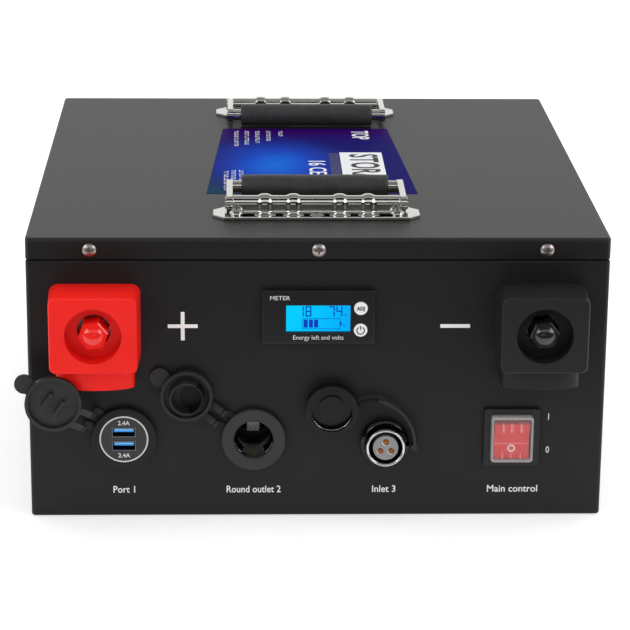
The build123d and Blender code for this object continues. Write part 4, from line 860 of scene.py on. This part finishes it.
class BATTERY_OT_outlets(BatteryOperator):
    """USB outlet, accessory socket and charging connector"""
    bl_idname = "battery.outlets"
    bl_label = "Outlets"

    def execute(self, context):
        stick(moulded("flange_plastic", (0.015, 0.015, 0.016), 0.5, 0.2), "usb_body")
        stick(moulded("socket_plastic", (0.035, 0.035, 0.036), 0.55, 0.3), "socket_body")
        stick(moulded("usb_face_plastic", (0.012, 0.012, 0.013), 0.3), "usb_face")
        stick(plated("port_steel", (0.16, 0.16, 0.17), 0.25), "usb_shells")
        stick(moulded("tongue_blue", (0.02, 0.34, 1.0), 0.28), "usb_tongues")
        bright = plated("liner_plating", (0.26, 0.26, 0.27), 0.14)
        stick(bright, "socket_shell")
        self.usb_marks()
        self.paint_tongue_highlights()
        self.socket_springs(bright)
        self.socket_blade()
        self.charge_connector()
        return {"FINISHED"}

    @staticmethod
    def usb_marks():
        """White ring round the face and the figures above and below the ports."""
        white = ink("usb_ink", (0.75, 0.75, 0.76))
        middle = centre_of("usb_face")
        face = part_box("usb_face")[0].y
        out = (PANEL_Y - face) / MM
        ring = [(12.75, out), (13.55, out), (13.55, out + 0.06), (12.75, out + 0.06)]
        turned_piece("usb_ring", ring, middle.x, middle.z, white, "case", smooth=False)
        for name, dz in (("usb_figure_top", 9.4), ("usb_figure_low", -9.6)):
            words(name, "2.4A", 3.5 * MM, middle.x, face - INK_T, middle.z + dz * MM,
                  white, "case", "button_white", bold=0.00006)

    @staticmethod
    def paint_tongue_highlights():
        """Painted highlight: a paler band along the front of each port's tongue."""
        low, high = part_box("usb_tongues")
        out = PANEL_Y - low.y
        # painted highlight colour on the tongue fronts
        pale = moulded("tongue_edge", (0.30, 0.72, 1.0), 0.3)
        bars = [(low.x + 0.5 * MM, high.x - 0.5 * MM, top - 0.9 * MM, top - 0.3 * MM)
                for top in (high.z, low.z + 1.9 * MM)]
        plates("tongue_edges", bars, INK_T, pale, "case", base=out)

    @staticmethod
    def socket_blade():
        """Bright sprung blade across the back of the accessory socket, tilted up towards the mouth."""
        middle = centre_of("socket_shell")
        wide, tall, thick, lean = 3.5 * MM, 6.2 * MM, 0.3 * MM, radians(16)
        front = PANEL_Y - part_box("socket_shell")[1].y + 2.6 * MM
        t, s = np.meshgrid(np.linspace(-1, 1, 12), np.array([0.0, 1.0]), indexing="ij")
        faces = []
        sheets = []
        for index, depth in enumerate((0.0, thick)):
            up = -6.8 * MM + s * tall * cos(lean) - depth * sin(lean)
            out = front - s * tall * sin(lean) - depth * cos(lean)
            sheets.append(np.stack([t * wide, up, out], -1))
            faces += [list(face) for face in quads(12, 2, False, False, index * 24)]
        rim = [*range(0, 24, 2), *range(23, 0, -2)]
        faces += [[rim[i], rim[(i + 1) % 24], rim[(i + 1) % 24] + 24, rim[i] + 24] for i in range(24)]
        shine = Finish("blade_polish", Metallic=1.0, Roughness=0.1)
        shine.put("Base Color", shine.blend(shine.noise(0.003), (0.88, 0.88, 0.88), (1.0, 1.0, 0.98)))
        outward(make_piece("socket_blade", on_panel(np.stack(sheets), middle.x, middle.z), faces, shine.material,
                           "case", smooth=False))

    @staticmethod
    def socket_springs(material):
        """Leaf springs inside the liner: r = bore - bow sin(pi t) along the depth t, over a narrow angle."""
        middle = centre_of("socket_shell")
        low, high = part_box("socket_shell")
        bore = (high.x - low.x) / 2 - 0.9 * MM
        front = PANEL_Y - low.y
        half_angle = 19
        for name, turn in (("socket_spring_top", 90.0), ("socket_spring_left", 215.0), ("socket_spring_right", 325.0)):
            sweep = np.radians(np.linspace(turn - half_angle, turn + half_angle, 14))
            angle, t = np.meshgrid(sweep, np.linspace(0, 1, 18), indexing="ij")
            radius = bore - 0.35 * MM - 1.5 * MM * np.sin(pi * t) ** 2
            out = front - (1.0 + 13.0 * t) * MM
            points = np.stack([radius * np.cos(angle), radius * np.sin(angle), out], -1)
            spring = make_piece(name, on_panel(points, middle.x, middle.z), quads(14, 18, False, False), material,
                                "case")
            wall = spring.modifiers.new("wall", "SOLIDIFY")
            wall.thickness = 0.3 * MM

    @staticmethod
    def charge_connector():
        """Threaded shell with a knurled collar: ridges along the shell and a wave round the collar."""
        low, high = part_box("charge_shell")
        middle = (low + high) / 2
        x, z = middle.x, middle.z
        front = (PANEL_Y - low.y) / MM
        insert_low, insert_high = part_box("charge_insert")
        shell_r, bore_r, collar_r, back = 11.2, 9.2, 13.9, -13.9
        insert_r = (insert_high.x - insert_low.x) / 2 / MM + 0.06
        collar = (1.2, 4.0)
        profile = [(bore_r, 1.3), (bore_r, front - 0.9), (bore_r + 0.3, front - 0.3), (bore_r + 0.8, front),
                   (shell_r - 0.8, front), (shell_r - 0.5, front - 0.3)]
        turns = np.arange(front - 0.8, collar[1] + 0.9, -0.25)
        profile += [(shell_r - (0.0 if index % 2 else 0.42), out) for index, out in enumerate(turns)]
        profile += [(shell_r - 0.4, collar[1] + 0.1), (collar_r - 0.5, collar[1]),
                    (collar_r, collar[1] - 0.5), (collar_r, collar[0]), (shell_r, collar[0] - 0.02),
                    (shell_r, back), (insert_r, back), (insert_r, 1.2)]

        def knurl(angle, radius, out):
            edge = (radius > 13.0 * MM) & (out > collar[0] * MM - 1e-6)
            return np.where(edge, -0.16 * MM * (0.5 + 0.5 * np.cos(angle * 48)), 0.0)

        steel = connector_plating("connector_plating", low.y)
        shell = turned_piece("charge_shell_threaded", profile, x, z, steel, "case", 192, knurl)
        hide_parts("charge_shell")
        stick(moulded("insert_plastic", (0.27, 0.275, 0.28), 0.4), "charge_insert")
        stick(plated("pin_copper", (0.34, 0.11, 0.03), 0.25), "charge_contacts")
        # painted highlight: pale crescents on the lower left of each contact cup
        pale = plated("cup_edge", (0.85, 0.83, 0.80), 0.3)
        tip = (PANEL_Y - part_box("charge_contacts")[0].y) / MM
        spread, cup_r, along, around = 3.5, 1.75, 24, 8
        swing, tube = np.meshgrid(np.radians(np.linspace(165, 285, along)),
                                  np.linspace(0, 2 * pi, around, endpoint=False), indexing="ij")
        r = cup_r + 0.25 * np.cos(tube)
        out = tip - 0.2 + 0.15 * np.sin(tube)
        ends = [list(range(around)), list(range((along - 1) * around, along * around))]
        faces = [list(face) for face in quads(along, around, False, True)] + ends
        for index in range(3):
            angle = radians(90 + 120 * index)
            right, up = spread * cos(angle), spread * sin(angle)
            points = np.stack([right + r * np.cos(swing), up + r * np.sin(swing), out], -1) * MM
            outward(make_piece(f"contact_highlight_{index}", on_panel(points, x, z), faces, pale, "case"))


class BATTERY_OT_caps(BatteryOperator):
    """Soft caps, their rings and straps"""
    bl_idname = "battery.caps"
    bl_label = "Caps"

    def execute(self, context):
        soft = rubber("cap_rubber_skin", (0.019, 0.019, 0.0195), 0.5)
        stick(soft, "usb_cap", "usb_cap_ring", "socket_cap_ring", "charge_cap_ring")
        # the socket cap's plug gets painted shade inside
        stick(plug_rubber("plug_rubber_skin", (0.019, 0.019, 0.0195), "socket_cap", 8.3 * MM), "socket_cap")
        hard = moulded("cap_gloss", (0.006, 0.006, 0.0065), 0.2, 0.2)
        stick(hard, "charge_cap")
        self.cap_thread(hard)
        self.cap_lip_highlight()
        return {"FINISHED"}

    @staticmethod
    def in_cap(name, section, material):
        """Turn a section about the axis of the charging connector's cap."""
        low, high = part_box("charge_cap")
        x, z = low.x + (high.z - low.z) / 2, (low.z + high.z) / 2
        turned_piece(name, section, x, z, material, "charge_cap", 128)

    def cap_thread(self, material):
        """Ridges inside the charging connector's cap: r = bore with a saw wave along its depth."""
        bore, deep, back = 12.18, 0.45, 0.3
        outs = np.arange(2.8, 7.2, 0.5)
        profile = [(bore - (deep if index % 2 else 0.0), out) for index, out in enumerate(outs)]
        profile += [(bore + back, outs[-1]), (bore + back, outs[0])]
        self.in_cap("charge_cap_thread", profile, material)

    def cap_lip_highlight(self):
        """Polished bead inside the charging connector's cap, a thin torus of radius R and section r, with a painted
        highlight: bright on its lower part, dark above.
        """
        low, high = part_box("charge_cap")
        polish = Finish("lip_polish", Metallic=1.0, Roughness=0.12)
        _, _, z = polish.place()
        rise = (z - (low.z + high.z) / 2) / ((high.z - low.z) / 2)
        # painted highlight: bright at the bottom of the bead, dark above
        polish.put("Base Color", polish.blend(rise.step(-0.45, -0.15), (0.85, 0.85, 0.85), (0.07, 0.07, 0.07)))
        self.in_cap("charge_cap_lip", arc((11.8, 6.0), 0.3, 0, 330, 12), polish.material)


class BATTERY_OT_switch(BatteryOperator):
    """Rocker switch under its clear boot"""
    bl_idname = "battery.switch"
    bl_label = "Switch"

    def execute(self, context):
        stick(moulded("frame_plastic", (0.012, 0.012, 0.013), 0.35, 0.3), "switch_frame")
        stick(rocker_plastic("rocker_red"), "switch_rocker")
        stick(clear_boot("boot_film"), "switch_cover")
        self.rocker_sign()
        self.creases()
        return {"FINISHED"}

    @staticmethod
    def rocker_sign():
        """Ring moulded on the rocker's lower half."""
        white = ink("rocker_ink", (0.85, 0.7, 0.7))
        middle = centre_of("switch_frame")
        inner, outer, low, high = 1.25, 2.2, 2.42, 2.54
        ring = [(inner, low), (outer, low), (outer, high), (inner, high)]
        turned_piece("rocker_ring", ring, middle.x, middle.z - 6.3 * MM, white,
                     "rocker", 48, smooth=False)

    @staticmethod
    def creases():
        """Short pale ribs on the boot where it flexes."""
        low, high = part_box("switch_cover")
        middle = (low + high) / 2
        pale = Finish("boot_crease", Base_Color=(0.95, 0.85, 0.85), Roughness=0.25)
        pale.put("Alpha", pale.noise(0.002) * 0.35 + 0.3)
        out = PANEL_Y - low.y
        bars = []
        for x in (-5.4, -0.6, 4.6):
            bars += [(x - 0.16, x + 0.16, 4.8, 10.2), (x + 0.8, x + 1.0, 4.8, 9.3), (x - 0.14, x + 0.14, -11.0, -7.6)]
        bars = np.array(bars) * MM + [middle.x, middle.x, middle.z, middle.z]
        plates("boot_creases", bars, 0.12 * MM, pale.material, "case", base=out - 0.13 * MM)


class BATTERY_OT_handles(BatteryOperator):
    """Folding handles: rolled plates with pressed ribs, bails, sleeves and screws"""
    bl_idname = "battery.handles"
    bl_label = "Handles"

    def execute(self, context):
        handle = self.settings("battery_handles")
        steel = plated("handle_plating", handle.bright, 0.08)
        stick(steel, "front_handle_bail", "rear_handle_bail", "handle_pins")
        stick(plated("handle_screw_plating", shade(handle.bright, 0.85), 0.14), "handle_screws")
        sleeve = rubber("sleeve_rubber", handle.grip, 0.5)
        folds = {j["name"]: j["pos_m"] for j in frame["joints"] if j["name"].endswith("handle_fold")}
        for end, turn in (("front", 1.0), ("rear", -1.0)):
            _, y, z = folds[end + "_handle_fold"]
            self.plate(end, turn, y, z, handle, steel)
            self.sleeve(end, sleeve)
        return {"FINISHED"}

    @staticmethod
    def plate(end, turn, y, z, handle, steel):
        """Base plate, and a roll carried along X whose outline swells at each rib.

        In the section, u points away from the case's middle and w up, from the barrel's axis."""
        node = end + "_handle_plate"
        low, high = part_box(node)
        radius = high.z - z - 1.2 * MM
        rise = z - LID_TOP
        thick = 2.0 * MM
        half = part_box(end + "_handle_bail")[1].x - 3.8 * MM
        outer = abs(low.y if turn > 0 else high.y) - abs(y)
        inner = (high.y - low.y) - outer
        top = thick - rise
        bend = 1.6 * MM
        tail = outer - 2.2 * MM
        under = top - 0.3 * MM
        inside = radius - 1.8 * MM
        lead = np.stack([np.linspace(tail, radius + bend, 8), np.full(8, top)], -1)
        web = arc((radius + bend, top + bend), bend, 270, 180, 7)
        roll = arc((0, 0), radius, 0, 250, 40)
        back = np.array([[inside, top + 1.2 * MM], [inside, under], [tail, under]])
        outline = np.concatenate([lead, web, roll, back])
        normal = np.zeros_like(outline)
        normal[:8] = (0, 1)
        normal[8:15] = np.stack([np.sin(np.linspace(0, pi / 2, 7)), np.cos(np.linspace(0, pi / 2, 7))], -1)
        normal[15:55] = arc((0, 0), 1.0, 0, 250, 40)
        swell = np.zeros(len(outline))
        swell[:15] = np.clip(np.linspace(0, 3.0, 15), 0, 1)
        swell[15:55] = np.clip(np.linspace(6.0, -3.4, 40), 0, 1)
        ribs = np.array([-29.0, -13.0, 13.0, 29.0]) * MM

        def section(x):
            lift = np.exp(-(((x - ribs) / (handle.rib_width / 2)) ** 4)).sum() * handle.rib_out
            shape = outline + normal * (swell * lift)[:, None]
            return np.stack([y - turn * shape[:, 0], z + shape[:, 1]], -1)

        xs = np.linspace(-half, half, 260)
        points, faces = carried(section, xs)
        piece = outward(make_piece(end + "_handle_roll", points, faces, steel, "case"))
        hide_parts(node)
        wide = high.x
        cut = 6.0 * MM
        corners = np.array([(-wide + cut, outer), (-wide, outer - cut), (-wide, -inner + cut), (-wide + cut, -inner),
                            (wide - cut, -inner), (wide, -inner + cut), (wide, outer - cut), (wide - cut, outer)])
        centre = corners.mean(0)
        rings = [(0.35, 0.0), (0.0, 0.3), (0.0, 1.6), (0.12, 1.85), (0.4, 2.0)]
        stack = []
        for inset, level in rings:
            shrink = 1 - inset * MM / (wide * 0.45)
            ring = centre + (corners - centre) * np.array([shrink, 1 - inset * MM / (outer * 0.9)])
            stack.append(np.column_stack([ring[:, 0], y - turn * ring[:, 1], np.full(8, LID_TOP + level * MM)]))
        faces = [list(f) for f in quads(5, 8, False, True)] + [list(range(8)), list(range(32, 40))]
        base = outward(make_piece(end + "_handle_base", np.stack(stack), faces, steel,
                                  "case", smooth=False))
        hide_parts(node)

    @staticmethod
    def sleeve(end, material):
        """Rubber sleeve: r rounds off at both ends and swells by a hair along its length."""
        node = end + "_handle_grip"
        low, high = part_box(node)
        middle = (low + high) / 2
        radius = (high.z - low.z) / 2
        half = (high.x - low.x) / 2
        round_off = 1.4 * MM
        edge = arc((0, 0), round_off, 90, 0, 8)
        right = np.stack([radius - round_off + edge[:, 1], half - round_off + edge[:, 0]], -1)
        along = np.linspace(-half + 1.5 * MM, half - 1.5 * MM, 60)
        body = np.stack([radius - 0.12 * MM * (0.5 + 0.5 * np.cos(along / (7 * MM))), along], -1)
        left = right[::-1] * np.array([1, -1])
        bore = 3.56 * MM
        profile = np.concatenate([[(bore, -half)], left, body, right, [(bore, half)]])
        points, faces = turned(profile, 72)
        world = np.stack([points[..., 2], points[..., 0] + middle.y, points[..., 1] + middle.z], -1)
        piece = outward(make_piece(end + "_handle_sleeve", world, faces, material, end + "_handle"))
        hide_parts(node)


class BATTERY_OT_label(BatteryOperator):
    """Printed label with a glow, a white block, lettering and rows of small print"""
    bl_idname = "battery.label"
    bl_label = "Label"

    def execute(self, context):
        label = self.settings("battery_label")
        stick(label_print("label_face", label), "top_label")
        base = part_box("top_label")[1].z - LID_TOP
        top = LID_TOP + base + 0.02 * MM
        white = ink("label_white", (0.74, 0.75, 0.77))
        black = ink("label_black", (0.01, 0.01, 0.012))
        navy = ink("label_navy", (0.002, 0.003, 0.09))
        for name, block, paint in (("label_block", (18.5, 44.5, -73.0, 20.0), white),
                                   ("label_shadow", (11.8, 18.0, -73.0, 18.5), navy)):
            plates(name, [np.array(block) * MM], INK_T, paint, "case", "lid", base)
        lines = (
            ("label_title", "STORAGE", 24.0, 32.0, -26.5, top + INK_T, black, 0.80, 0.5),
            ("label_rating", "16 CELLS", 14.6, 3.4, -27.0, top, white, 0.98, 0.2),
            ("label_kind", "TOP", 15.0, 33.0, 66.0, top, white, 0.78, 0.3))
        for name, text, size, x, y, z, paint, squeeze, bold in lines:
            words(name, text, size * MM, x * MM, y * MM, z, paint, "case", "label_print",
                  "lid", -90, squeeze=squeeze, bold=bold * MM)
        self.small_print(white, base)
        return {"FINISHED"}

    @staticmethod
    def small_print(material, base):
        """Rows of word-like dashes, their lengths from a seeded draw."""
        draw = np.random.default_rng(7)
        half_height, gap = 1.3, 1.1
        thin, side_wide, notch = 0.45 * MM, 0.5 * MM, 0.35 * MM
        bars = []
        rows = [(-44.9, 77.0, 41.0), (-38.3, 77.0, 43.0), (-31.6, 77.0, 46.0), (-24.7, 77.0, 50.0), (-16.9, 77.0, 62.0),
                (-51.0, -26.0, -70.0), (-46.6, -24.0, -70.0), (-42.0, -24.0, -66.0)]
        for x, start, end in rows:
            place = start
            while place > end:
                size = draw.uniform(1.6, 6.0)
                bars.append(((x - half_height) * MM, (x + half_height) * MM, (place - size) * MM, place * MM))
                place -= size + gap
        strokes = []
        for x0, x1, y0, y1 in bars:
            count = max(1, int((y1 - y0) / (1.5 * MM)))
            step = (y1 - y0) / count
            for index in range(count):
                a = y0 + index * step
                strokes.append((x0, x1, a, a + thin))
                side = x0 if draw.random() < 0.5 else x1 - side_wide
                strokes.append((side, side + side_wide, a + thin, a + step - notch))
        plates("label_small_print", strokes, INK_T, material, "case", "lid", base)


OPERATORS = (
    BATTERY_OT_stage, BATTERY_OT_case, BATTERY_OT_inside, BATTERY_OT_terminals, BATTERY_OT_marks,
    BATTERY_OT_meter, BATTERY_OT_outlets, BATTERY_OT_caps, BATTERY_OT_switch, BATTERY_OT_handles, BATTERY_OT_label)


class BATTERY_PT_panel(bpy.types.Panel):
    """Lists the battery's operators and settings"""
    bl_idname = "BATTERY_PT_panel"
    bl_label = "Battery"
    bl_space_type = "VIEW_3D"
    bl_region_type = "UI"
    bl_category = "Battery"

    def draw(self, context):
        for group, kind in GROUPS.items():
            box = self.layout.box()
            for name in kind.__annotations__:
                box.prop(getattr(context.scene, group), name)
        for operator in OPERATORS:
            self.layout.operator(operator.bl_idname)


def register():
    """Register the settings, operators and panel."""
    for kind in (*GROUPS.values(), *OPERATORS, BATTERY_PT_panel):
        bpy.utils.register_class(kind)
    for group, kind in GROUPS.items():
        setattr(bpy.types.Scene, group, bpy.props.PointerProperty(type=kind))


def unregister():
    """Take everything back out."""
    for group in GROUPS:
        delattr(bpy.types.Scene, group)
    for kind in reversed((*GROUPS.values(), *OPERATORS, BATTERY_PT_panel)):
        bpy.utils.unregister_class(kind)


def main():
    """Dress the battery and stage it."""
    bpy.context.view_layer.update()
    register()
    for operator in OPERATORS:
        group, name = operator.bl_idname.split(".")
        getattr(getattr(bpy.ops, group), name)()


if __name__ == "__main__":
    main()
